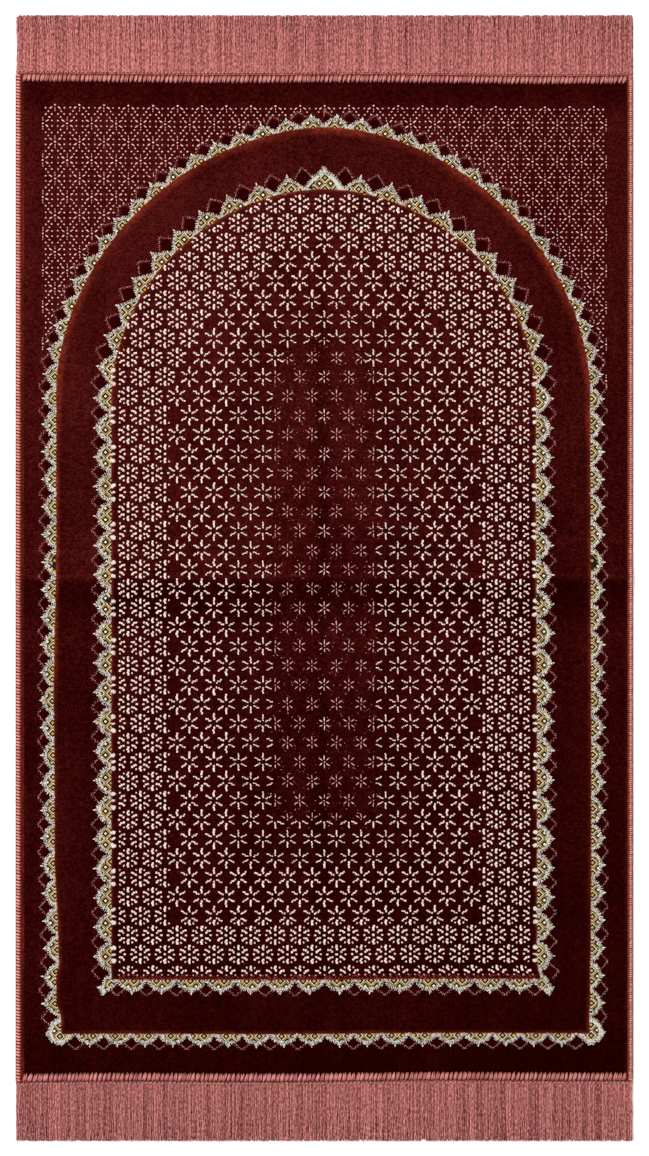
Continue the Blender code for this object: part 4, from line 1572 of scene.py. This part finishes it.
@dataclass
class PileCloth:
    """The cloth: cut pile on a ground weave that runs out past it, with lower lace bands."""

    half_width: float = PILE_HALF_WIDTH
    half_length: float = PILE_HALF_LENGTH
    top: float = PILE_TOP
    ground_half_width: float = 0.3370
    ground_half_length: float = 0.5500
    ground_bottom: float = 0.0016
    ground_top: float = 0.0028
    shoulder_insets: tuple[float, ...] = (0.0, 0.0009, 0.0028)
    shoulder_drops: tuple[float, ...] = (0.0016, 0.0006, 0.0)
    wall: float = 0.0001
    spacing: float = 0.0085
    fold_spacing: float = 0.0025
    lace_depth: float = 0.0009
    weld: float = 0.0002

    def lines(self, half: float, ground: float, fold: float, reach: float) -> np.ndarray:
        """Place the grid's lines along one axis.

        Args:
            half: Half of the pile's size.
            ground: Half of the ground weave's size.
            fold: Place of the fold that crosses the lines.
            reach: Half of the fold's width.

        Returns:
            The lines' places in order, closer together at the edges and at the fold.
        """
        rim = np.array([ground, half + self.wall, *(half - inset for inset in self.shoulder_insets)])
        inner = half - self.shoulder_insets[-1]
        even = np.linspace(-inner, inner, round(2.0 * inner / self.spacing) + 1)
        even = even[np.abs(even - fold) > reach]
        close = np.linspace(fold - reach, fold + reach, round(2.0 * reach / self.fold_spacing) + 1)
        return np.unique(np.round(np.concatenate((even, close, rim, -rim)), 6))

    def top_height(self, inset: np.ndarray) -> np.ndarray:
        """Height of the top at a distance in from the pile's edge."""
        heights = self.top - np.array(self.shoulder_drops)
        return np.where(inset < 0.0, self.ground_top, np.interp(inset, self.shoulder_insets, heights))

    def slab(self) -> Mesh:
        """Make the closed slab of pile and ground, straight and flat."""
        across = self.lines(self.half_width, self.ground_half_width, FOLD_ALONG_X, FOLD_ALONG_REACH)
        along = self.lines(self.half_length, self.ground_half_length, FOLD_ACROSS_Y, FOLD_ACROSS_REACH)
        x, y = (grid.ravel() for grid in np.meshgrid(across, along))
        aside, ahead = self.half_width - np.abs(x), self.half_length - np.abs(y)
        above = np.minimum(self.top_height(aside), self.top_height(ahead))
        below = np.where(np.minimum(aside, ahead) < 0.0, self.ground_bottom, 0.0)
        points = np.concatenate((np.stack((x, y, above), 1), np.stack((x, y, below), 1)))
        columns, rows, half = len(across), len(along), len(x)
        faces = []
        for row in range(rows - 1):
            for column in range(columns - 1):
                a = row * columns + column
                b = a + columns
                faces.append((a, a + 1, b + 1, b))
                faces.append((half + a, half + b, half + b + 1, half + a + 1))
        rim = list(range(columns)) + [row * columns + columns - 1 for row in range(1, rows)]
        rim += list(range(rows * columns - 2, (rows - 1) * columns - 1, -1))
        rim += [row * columns for row in range(rows - 2, 0, -1)]
        for here, after in zip(rim, rim[1:] + rim[:1]):
            faces.append((here, half + here, half + after, after))
        mesh = bpy.data.meshes.new("pile_slab")
        mesh.from_pydata(points.tolist(), [], faces)
        return mesh

    def bed_mesh(self, band: LaceBand) -> Mesh:
        """Make the closed solid that a band's bed takes out of the pile."""
        bed = bmesh.new()
        for outline in band.recess():
            if signed_area(outline) < 0.0:
                outline = outline[::-1]
            bed.faces.new([bed.verts.new((x, y, self.top - self.lace_depth)) for x, y in outline])
        bmesh.ops.remove_doubles(bed, verts=bed.verts, dist=self.weld)
        raised = bmesh.ops.extrude_face_region(bed, geom=list(bed.faces), use_keep_orig=True)
        tops = [item for item in raised["geom"] if isinstance(item, bmesh.types.BMVert)]
        bmesh.ops.translate(bed, verts=tops, vec=(0.0, 0.0, self.top))
        bmesh.ops.recalc_face_normals(bed, faces=bed.faces)
        mesh = bpy.data.meshes.new(f"bed_{band.name}")
        bed.to_mesh(mesh)
        bed.free()
        return mesh

    def sink(self, mesh: Mesh, bands: list[LaceBand]) -> Mesh:
        """Cut the lace bands' beds into the pile.

        Args:
            mesh: The slab.
            bands: The lace bands.

        Returns:
            The slab with its beds.
        """
        cloth = new_object("slab", mesh)
        cutters = []
        for band in bands:
            bed = self.bed_mesh(band)
            cutter = new_object(bed.name, bed)
            cutters.append(cutter)
            step = cloth.modifiers.new(band.name, "BOOLEAN")
            step.operation = "DIFFERENCE"
            step.solver = "EXACT"
            step.object = cutter
        graph = bpy.context.evaluated_depsgraph_get()
        sunk = bpy.data.meshes.new_from_object(cloth.evaluated_get(graph), depsgraph=graph)
        cloth.modifiers.clear()
        for scratch in (cloth, *cutters):
            bpy.data.objects.remove(scratch, do_unlink=True)
        return sunk

    def make(self, shop: Workshop, bands: list[LaceBand]) -> Object:
        """Make and dress the cloth."""
        mesh = self.sink(self.slab(), bands)
        flat = np.empty(len(mesh.vertices) * 3, dtype=np.float32)
        mesh.vertices.foreach_get("co", flat)
        mesh.attributes.new("flat", "FLOAT_VECTOR", "POINT").data.foreach_set("vector", flat)
        return add_piece("pile_cloth", mesh, shop.finish(PileFinish()), Slot.PILE, "rug_cloth")


@dataclass(frozen=True)
class Stroke:
    """A petal or a dot of a charted motif: its place, size and turn in millimetres and degrees."""

    x: float
    y: float
    length: float
    width: float
    turn: float = 0.0

    @property
    def is_dot(self) -> bool:
        """Tell a dot from a petal."""
        return self.length < 4.2


def four_ways(x: float, y: float, length: float, width: float, turn: float) -> tuple[Stroke, ...]:
    """Chart a stroke and its likes in the other three quarters."""
    return tuple(Stroke(side * x, end * y, length, width, side * end * turn)
                 for side in (-1, 1) for end in (-1, 1))


def two_ways(x: float, y: float, length: float, width: float, turn: float = 0.0) -> tuple[Stroke, ...]:
    """Chart a stroke and its like at the other side of the motif's middle."""
    return tuple(Stroke(side * x, side * y, length, width, turn) for side in (-1, 1))


ROSETTE = (
    Stroke(0.0, 0.0, 3.6, 3.2), *two_ways(0.0, 7.4, 6.3, 3.2, 90.0), *four_ways(6.9, 4.1, 7.1, 2.9, 30.0),
    *two_ways(9.9, 0.0, 3.2, 2.6), *four_ways(4.5, 8.25, 2.9, 2.0, 62.0))
STAR = (*two_ways(0.0, 7.5, 7.2, 2.75, 90.0), *four_ways(5.8, 3.95, 7.7, 2.3, 31.0))
THIN_STAR = (*two_ways(0.0, 6.1, 6.9, 1.95, 90.0), *four_ways(6.0, 3.3, 6.9, 1.65, 28.0))
FAINT_STAR = (
    Stroke(0.0, 0.0, 1.7, 1.6), *two_ways(0.0, 4.7, 6.0, 1.15, 90.0),
    *four_ways(4.0, 2.9, 5.7, 1.15, 36.0))
SPANDREL_STAR = (
    Stroke(0.0, 0.0, 2.4, 2.0), *four_ways(4.75, 2.9, 4.3, 1.4, 34.0),
    *two_ways(0.0, 3.6, 2.0, 0.9, 90.0), *two_ways(0.0, 6.2, 2.0, 0.9, 90.0),
    *four_ways(7.2, 6.8, 2.0, 1.7, 40.0), *four_ways(10.2, 2.9, 1.9, 1.7, 20.0),
    Stroke(-3.4, 10.1, 2.0, 1.8), Stroke(3.4, 10.1, 2.0, 1.8), Stroke(-10.2, 10.1, 2.0, 1.8),
    Stroke(10.2, 10.1, 2.0, 1.8))


@dataclass(frozen=True)
class Net:
    """Net of motifs, with one at every other crossing of its rows and columns."""

    middle_x: float
    first_row: float
    column: float
    row: float
    rows: int
    side_columns: int

    def centres(self, odd: int = 0) -> list[tuple[int, Point]]:
        """Column and centre of each motif, or of the gaps between them where odd is 1."""
        return [
            (side, (self.middle_x + side * self.column, self.first_row - row * self.row))
            for row in range(self.rows) for side in range(-self.side_columns, self.side_columns + 1)
            if (row + side) % 2 == odd]


@dataclass
class FlowerField:
    """Net of flowers inside the inner niche, which thin out in nested niches to its middle."""

    net: Net = Net(-0.0002, 0.41162, 0.013497, 0.021164, 41, 17)
    base: float = PILE_TOP - 0.0003
    proud: float = 0.0009
    edge: float = 0.0015
    corner_share: float = math.sqrt(2.0)
    knob: Pair = (0.0062, 0.0056)
    knob_bar: Pair = (0.0056, 0.0030)
    knob_shift: float = 0.0024
    knob_blocks: tuple[Pair, ...] = ((0.0, 1.0), (0.0014, 0.7))
    fuller: float = 0.98
    stagger: float = 0.14
    block_share: float = 0.79
    least_blocks: int = 3
    most_blocks: int = 4
    last_drop: float = 0.0016
    fuzzy: float = 0.0085
    specks: int = 7
    speck_reach: Pair = (0.0070, 0.0115)
    speck_size: Pair = (0.0006, 0.0013)
    seed: int = 300
    star_zone: Niche = Niche(-0.0002, 0.1694, 0.2046, -0.3773, 0.1716, 1.4)
    thin_zone: Niche = Niche(-0.0002, 0.1023, 0.2200, -0.3124, 0.0968, 1.4)
    faint_zone: Niche = Niche(-0.0002, 0.0561, 0.2266, -0.2657, 0.0396, 1.4)

    def zone_at(self, x: float, y: float) -> str:
        """Name the zone that a place lies in; none outside the field."""
        spot = (np.array(x), np.array(y))
        for zone, niche in (
                ("faint", self.faint_zone), ("thin", self.thin_zone), ("star", self.star_zone)):
            if niche.holds(*spot):
                return zone
        reach = (1.0 - float(INNER_NICHE.size_at(*spot))) * INNER_NICHE.half_width
        over_foot = y - INNER_NICHE.foot_y
        return "rosette" if min(reach, over_foot) > self.edge else ""

    def is_fuzzy(self, y: float) -> bool:
        """Tell whether a height of the rug is near the foot, where the pile hides the flowers."""
        return y < INNER_NICHE.foot_y + self.fuzzy

    def chart(self, marks: Marks, zone: str, strokes: tuple[Stroke, ...], odd: int = 0) -> None:
        """Add the strokes of every motif that lie in a zone."""
        for side, (x, y) in self.net.centres(odd):
            drop = self.last_drop if self.is_fuzzy(y) else 0.0
            outermost = zone == "rosette" and abs(side) == self.net.side_columns
            for stroke in strokes:
                place = (x + stroke.x * MM, y + stroke.y * MM - drop)
                if self.zone_at(*place) != zone or outermost and stroke.x == 0.0:
                    continue
                if zone == "faint":
                    self.add_plain(marks, place, stroke, 1.0 if side == 0 else 0.50)
                elif stroke.is_dot:
                    tone, size = (0.07, 0.75) if self.is_fuzzy(place[1]) else (0.70, 1.0)
                    self.add_plain(marks, place, stroke, tone, size)
                else:
                    self.add_steps(marks, place, stroke, 0.72 if self.is_fuzzy(place[1]) else 0.90)

    def add_plain(
            self, marks: Marks, place: Point, stroke: Stroke, tone: float, size: float = 1.0) -> None:
        """Add a stroke as one tuft."""
        marks.add(*place, self.base, math.radians(stroke.turn),
                  (size * stroke.length * self.fuller * MM, size * stroke.width * MM, self.proud), tone)

    def add_steps(self, marks: Marks, place: Point, stroke: Stroke, tone: float) -> None:
        """Add a petal as the staggered blocks of knots that it is woven in.

        Args:
            marks: Where the blocks go.
            place: The petal's middle.
            stroke: The petal.
            tone: Its tone.
        """
        turn = math.radians(stroke.turn)
        along = (math.cos(turn), math.sin(turn))
        side = self.block_share * stroke.width * MM
        length = stroke.length * self.fuller * MM - side
        blocks = min(self.most_blocks, max(self.least_blocks, math.ceil(length / (1.35 * side)) + 1))
        step = length / (blocks - 1)
        size = tuple(self.corner_share * max(side, 1.1 * step * abs(share)) for share in along)
        for index in range(blocks):
            shift = (index - 0.5 * (blocks - 1)) * step
            aside = self.stagger * side * (2 * (index % 2) - 1)
            marks.add(place[0] + shift * along[0] - aside * along[1],
                      place[1] + shift * along[1] + aside * along[0], self.base, 0.0,
                      (*size, self.proud), tone)

    def knob_marks(self) -> Marks:
        """Knobs of the outermost half flowers, which run into the lace."""
        marks = Marks("field_knobs")
        strokes = [stroke for stroke in ROSETTE if not stroke.x]
        for side, (x, y) in self.net.centres():
            if abs(side) != self.net.side_columns:
                continue
            for stroke in strokes:
                if self.zone_at(x, y + stroke.y * MM) != "rosette":
                    continue
                width, length = self.knob_bar if stroke.is_dot else self.knob
                for shift, share in self.knob_blocks:
                    aside = math.copysign(self.knob_shift + shift, x)
                    ahead = math.copysign(0.5 * shift, stroke.y)
                    marks.add(x + aside, y + stroke.y * MM - ahead, PILE_TOP - 0.0006 + 0.1 * shift, 0.0,
                              (width * share, length * share, self.proud + 0.0003), 0.48)
        return marks

    def speck_marks(self) -> Marks:
        """Loose pink specks around the faint stars."""
        chance = np.random.default_rng(self.seed)
        marks = Marks("field_specks")
        for _, (x, y) in self.net.centres(1):
            if self.zone_at(x, y) != "faint":
                continue
            for _ in range(self.specks):
                angle = chance.uniform(0.0, 2.0 * math.pi)
                reach = chance.uniform(*self.speck_reach)
                size = chance.uniform(*self.speck_size)
                marks.add(x + reach * math.cos(angle), y + reach * math.sin(angle), self.base,
                          angle, (size, size, 0.5 * self.proud), chance.uniform(0.0, 0.5))
        return marks

    def make(self, shop: Workshop) -> None:
        """Make and dress the field's flowers."""
        rosettes, dots, stars, faint = (Marks(f"field_{name}") for name in (
            "rosettes", "dots", "stars", "faint_stars"))
        self.chart(rosettes, "rosette", tuple(stroke for stroke in ROSETTE if not stroke.is_dot))
        self.chart(dots, "rosette", tuple(stroke for stroke in ROSETTE if stroke.is_dot))
        self.chart(stars, "star", STAR)
        self.chart(stars, "thin", THIN_STAR)
        self.chart(faint, "faint", FAINT_STAR, odd=1)
        for step, (marks, sides) in enumerate(((rosettes, 4), (dots, 6), (stars, 4))):
            shop.grow(marks, self.seed + step, (0.00028, 0.12, 0.16, 0.22), PETAL_YARN, Sides=sides,
                      Ragged=0.00028, Fade=0.18)
        shop.grow(self.knob_marks(), self.seed + 3, (0.0004, 0.2, 0.12, 0.2), EDGE_YARN, Sides=6,
                  Ragged=0.0009, Fade=0.1)
        for step, marks in enumerate((faint, self.speck_marks())):
            shop.grow(
                marks, self.seed + 10 + step, (0.0003, 0.15, 0.2, 0.15), SPECK_YARN, Sides=6, Fade=0.3)


@dataclass
class SpandrelLattice:
    """Net of small stars in the two corners over the outer arch."""

    net: Net = Net(0.0, 0.51909, 0.013475, 0.02013, 18, 24)
    left: float = -0.31075
    right: float = 0.3102
    top: float = 0.5203
    clear: float = 0.0167
    fuller: float = 1.10
    base: float = PILE_TOP - 0.0003
    proud: float = 0.0008
    seed: int = 400

    def keeps(self, x: float, y: float) -> bool:
        """Tell whether a stroke at a place is woven."""
        if not self.left <= x <= self.right or y > self.top or y < OUTER_NICHE.spring_y:
            return False
        size = float(OUTER_NICHE.size_at(np.array(x), np.array(y)))
        return (size - 1.0) * OUTER_NICHE.half_width > self.clear

    def make(self, shop: Workshop) -> None:
        """Make and dress the net."""
        marks = Marks("spandrel_lattice")
        larger = self.fuller * MM
        for _, (middle_x, middle_y) in self.net.centres():
            for stroke in SPANDREL_STAR:
                x, y = middle_x + stroke.x * MM, middle_y + stroke.y * MM
                if self.keeps(x, y):
                    # The tone falls right of the middle: painted shade, with the light from the left.
                    marks.add(x, y, self.base, math.radians(stroke.turn),
                              (stroke.length * larger, stroke.width * larger, self.proud),
                              0.85 - 0.5 * max(0.0, x))
        shop.grow(marks, self.seed, (0.0002, 0.08, 0.1, 0.15), SPECK_YARN, Sides=6, Fade=0.3)


BEAD = ((0.88, 0.0), (1.0, 0.20), (1.0, 0.62), (0.82, 0.90), (0.50, 1.0), (0.16, 0.92), (0.0, 0.72))
BEAD_STEPS = 72
BEAD_TONE = 0.1


def bead_mesh(
        inner: float, width: float, height: float, reach: float, side: int, lengthwise: bool) -> Mesh:
    """Make the core of an edge binding, straight and flat.

    Args:
        inner: Distance from the rug's middle to the bead's inner side.
        width: The bead's width.
        height: The bead's height.
        reach: Half of the bead's length.
        side: 1 for the edge at the positive side, -1 for the other.
        lengthwise: Whether the bead runs along the rug.

    Returns:
        The mesh.
    """
    count, steps = len(BEAD), BEAD_STEPS
    points = []
    for spot in np.linspace(-reach, reach, steps + 1):
        for across, up in BEAD:
            aside = side * (inner + across * width)
            points.append((aside, spot, up * height) if lengthwise else (spot, aside, up * height))
    flip = (side > 0) == lengthwise
    faces = []
    for step in range(steps):
        for index in range(count):
            after = (index + 1) % count
            a, b = step * count + index, step * count + after
            quad = (a, a + count, b + count, b)
            faces.append(quad if flip else quad[::-1])
    first = tuple(range(count))
    last = tuple(range(steps * count, (steps + 1) * count))
    faces.append(first if flip else first[::-1])
    faces.append(last[::-1] if flip else last)
    return toned_mesh("bead", points, faces, [BEAD_TONE] * len(points))


@dataclass
class EdgeWork:
    """Work along one side or end of the rug: side 1 is the right or the top, -1 the other.

    A pair of sizes is for the left or the bottom first, and then for the right or the top.
    """

    side: int
    names: tuple[str, str] = ("bottom", "top")
    outward: Pair = (0.0006, 0.0013)

    def own(self, pair: tuple) -> object:
        """Pick this side's one of a pair."""
        return pair[0 if self.side < 0 else 1]

    @property
    def name(self) -> str:
        """The plain name of the rug's side or end."""
        return self.own(self.names)


@dataclass
class SideBinding(EdgeWork):
    """Overcast edge: a bead of close thread wraps, and a chain of stitches on the pile's edge."""

    names: tuple[str, str] = ("left", "right")
    pitches: Pair = (0.0034, 0.0023)
    reach: float = WHIPPING_OUTER
    threads: Pair = (0.0023, 0.0017)
    rise: float = 0.0034
    base: float = 0.0009
    slant: float = 0.30
    bead_places: Pair = (0.3371, 0.3366)
    spans: Pair = (0.0046, 0.0043)
    core_widths: Pair = (0.0072, 0.0068)
    core_height: float = 0.0036
    chain_places: Pair = (0.3343, 0.3347)
    chain_base: float = 0.0036
    chain_knot: Size = (0.0026, 0.0020, 0.0013)
    seed: int = 500

    def make(self, shop: Workshop) -> None:
        """Make and dress the binding."""
        core = bead_mesh(
            SIDE_BINDING_INNER, self.own(self.core_widths), self.core_height, self.reach, self.side, True)
        shop.add(f"binding_core_{self.name}", core, SHADED_THREAD, f"side_binding_{self.name}")
        wraps = Marks(f"binding_wraps_{self.name}")
        chain = Marks(f"binding_chain_{self.name}")
        turn = self.slant * self.side + (math.pi if self.side < 0 else 0.0)
        for spot in even_spots(self.reach, round(2.0 * self.reach / self.own(self.pitches))):
            wraps.add(self.side * self.own(self.bead_places), spot, self.base, turn, (1.0, 1.0, 1.0), 0.6)
            if abs(spot) < PILE_HALF_LENGTH:
                chain.add(self.side * self.own(self.chain_places), spot, self.chain_base, turn,
                          self.chain_knot, 0.55)
        shop.grow(wraps, self.seed + self.side, (0.0002, 0.10, 0.05, 0.25), BINDING_THREAD,
                  tree=shop.threads, Span=self.own(self.spans), Rise=self.rise,
                  Thickness=self.own(self.threads), Taper=0.35, End_Taper=0.35, Fade=0.30, End_Fade=1.0)
        shop.grow(
            chain, self.seed + 5 + self.side, (0.0003, 0.3, 0.2, 0.3), CHAIN_THREAD, Sides=6, Fade=0.5)


@dataclass
class EndWhipping(EdgeWork):
    """Band of thick slanted stitches over an end of the rug, each of three threads.

    Of a stitch's threads, the middle one is longer and lies higher than the outer two.
    """

    pitch: float = 0.00490
    thread: float = 0.00150
    thread_places: tuple[float, ...] = (-0.76, 0.0, 0.76)
    thread_sizes: tuple[Size, ...] = ((0.88, 1.0, 0.93), (1.06, 1.0, 1.0), (0.88, 1.0, 0.93))
    spans: Pair = (0.0100, 0.0090)
    rise: float = 0.0034
    base: float = 0.0013
    lean: float = 0.24
    core_inset: float = 0.0030
    core_height: float = 0.0033
    inset: float = 0.0002
    seed: int = 600

    def make(self, shop: Workshop) -> None:
        """Make and dress the stitches."""
        outward, span = self.own(self.outward), self.own(self.spans)
        core = bead_mesh(
            WHIPPING_INNER + self.core_inset, END_WHIPPING_WIDTH - self.core_inset + outward,
            self.core_height, PILE_HALF_WIDTH, self.side, False)
        shop.add(f"whipping_core_{self.name}", core, SHADED_THREAD, f"end_whipping_{self.name}",
                 slot=Slot.WHIPPING)
        marks = Marks(f"whipping_stitches_{self.name}")
        middle = self.side * (WHIPPING_INNER + 0.5 * END_WHIPPING_WIDTH + outward - self.inset
                              - 0.5 * (self.spans[0] - span))
        turn = 0.5 * math.pi - self.lean + (0.0 if self.side > 0 else math.pi)
        for stitch in even_spots(PILE_HALF_WIDTH, round(2.0 * PILE_HALF_WIDTH / self.pitch)):
            for place, size in zip(self.thread_places, self.thread_sizes):
                marks.add(stitch + place * self.thread, middle, self.base, turn, size, 0.65)
        shop.grow(marks, self.seed + self.side, (0.00035, 0.12, 0.08, 0.34), WHIPPING_THREAD,
                  tree=shop.threads, Span=span, Rise=self.rise, Thickness=self.thread,
                  Taper=0.95, End_Taper=0.25, Steps=6, Sides=6, Fade=0.45, End_Fade=1.0)


@dataclass
class Fringe(EdgeWork):
    """Fine yarns that hang out past an end, under a chain-stitched heading."""

    yarns: int = 1300
    half_width: float = 0.999 * RUG_HALF_WIDTH
    # Tone of each layer from the lowest up: the lower layers are darker, as painted shade under the upper
    # ones.
    shaded_layer_tones: tuple[float, ...] = (0.08, 0.50, 0.72)
    tone_spread: float = 0.32
    thickness: float = 0.00125
    layer_step: float = 0.00080
    lowest: float = 0.0009
    under_heading: Pair = (0.0016, 0.0022)
    sway: float = 0.0023
    chain_pitch: float = 0.0044
    chain_knot: Size = (0.0046, 0.0014, 0.0011)
    chain_slant: float = 0.30
    chain_out: float = 0.0003
    cord_height: float = 0.0031
    longer: float = 0.0011
    shorter: float = 1.6 * FRINGE_UNEVENNESS
    seed: int = 700

    def yarn_marks(self) -> Marks:
        """Starts of the yarns, in layers under the heading, with their lengths; the lower layers get
        darker tones as painted shade.
        """
        chance = np.random.default_rng(self.seed + self.side)
        marks = Marks(f"fringe_yarns_{self.name}")
        for index, x in enumerate(even_spots(self.half_width, self.yarns)):
            layer = index % len(self.shaded_layer_tones)
            start = HEADING_OUTER - chance.uniform(*self.under_heading)
            tip = FRINGE_TIP + self.longer - chance.uniform(0.0, 1.0) ** 2 * self.shorter
            tone = self.shaded_layer_tones[layer] + chance.uniform(-self.tone_spread, self.tone_spread)
            marks.add(x, self.side * start, self.lowest + layer * self.layer_step,
                      0.0 if self.side > 0 else math.pi, (1.0, tip - start, 1.0), tone)
        return marks

    def make(self, shop: Workshop) -> None:
        """Make and dress the yarns and their heading."""
        shop.grow(self.yarn_marks(), self.seed + self.side, (0.0001, 0.004, 0.0, 0.1), FRINGE_YARN,
                  f"fringe_{self.name}", tree=shop.yarns, Thickness=self.thickness,
                  Sway=self.sway, Fade=0.1, Sides=3, Steps=12)
        inner = HEADING_INNER + self.own(self.outward)
        cord = bead_mesh(inner, HEADING_WIDTH, self.cord_height, RUG_HALF_WIDTH, self.side, False)
        shop.add(f"heading_cord_{self.name}", cord, SHADED_THREAD, slot=Slot.FRINGE)
        chain = Marks(f"heading_chain_{self.name}")
        middle = self.side * (inner + 0.5 * HEADING_WIDTH + self.chain_out)
        for spot in even_spots(RUG_HALF_WIDTH, round(2.0 * RUG_HALF_WIDTH / self.chain_pitch)):
            chain.add(spot, middle, self.cord_height - 0.0003, self.chain_slant, self.chain_knot, 0.9)
        shop.grow(chain, self.seed + 20 + self.side, (0.0002, 0.1, 0.1, 0.2), WHIPPING_THREAD,
                  Sides=6, Fade=0.4)


@dataclass
class Studio:
    """Plain pale floor, soft lights and a camera straight above the rug."""

    floor_size: float = 6.0
    floor_drop: float = 0.0001
    floor_shades: tuple[Colour, Colour] = ((0.90, 0.90, 0.90), (0.93, 0.93, 0.93))
    floor_grain: float = 3.0
    lens: float = 85.0
    sensor: float = 36.0
    key_power: float = 76.0
    key_size: float = 1.8
    key_place: Size = (-1.6, 1.2, 3.2)
    world_strength: float = 0.95

    def add_floor(self) -> None:
        """Lay the floor."""
        half = 0.5 * self.floor_size
        mesh = bpy.data.meshes.new("floor")
        corners = [(x * half, y * half, -self.floor_drop) for x, y in ((-1, -1), (1, -1), (1, 1), (-1, 1))]
        mesh.from_pydata(corners, [], [(0, 1, 2, 3)])
        material, bench = new_material("pale_floor")
        grain = bench.noise(bench.get("ShaderNodeTexCoord", output="Object"), self.floor_grain)
        bench.dress(Base_Color=bench.blend(grain, *self.floor_shades), Roughness=0.9)
        mesh.materials.append(material)
        floor = new_object("floor", mesh)

    def add_lights(self) -> None:
        """Hang a large soft lamp at the top left, in even light from all around."""
        lamp = bpy.data.lights.new("key", "AREA")
        lamp.shape = "DISK"
        lamp.size = self.key_size
        lamp.energy = self.key_power
        key = new_object("key", lamp)
        key.location = self.key_place
        x, y, z = self.key_place
        key.rotation_euler = (math.atan2(math.hypot(x, y), z), 0.0, math.atan2(y, x) + 0.5 * math.pi)
        world = bpy.data.worlds.new("studio")
        world.use_nodes = True
        light = world.node_tree.nodes["Background"]
        light.inputs["Color"].default_value = (1.0, 1.0, 1.0, 1.0)
        light.inputs["Strength"].default_value = self.world_strength
        bpy.context.scene.world = world

    def add_camera(self) -> None:
        """Hang the camera so that its frame is the photograph's."""
        lens = bpy.data.cameras.new("camera")
        lens.lens = self.lens
        lens.sensor_width = self.sensor
        lens.sensor_fit = "AUTO"
        camera = new_object("camera", lens)
        camera.location = (0.0, 0.0, PHOTO_HEIGHT * PIXEL * self.lens / self.sensor + PILE_TOP)
        bpy.context.scene.camera = camera

    def make(self) -> None:
        """Set up the studio."""
        self.add_floor()
        self.add_lights()
        self.add_camera()
        bpy.context.scene.view_settings.view_transform = "Standard"


def main() -> None:
    """Build the rug's pieces in order, dress them and set up the studio."""
    logging.basicConfig(level=logging.INFO, format="%(message)s")
    shop = Workshop()
    bands = [OUTER_LACE, INNER_LACE]
    cloth = PileCloth().make(shop, bands)
    for part in (*bands, FlowerField(), SpandrelLattice(), SideBinding(-1), SideBinding(1),
                 EndWhipping(1), EndWhipping(-1), Fringe(1), Fringe(-1)):
        part.make(shop)
    Studio().make()


if __name__ == "__main__":
    main()
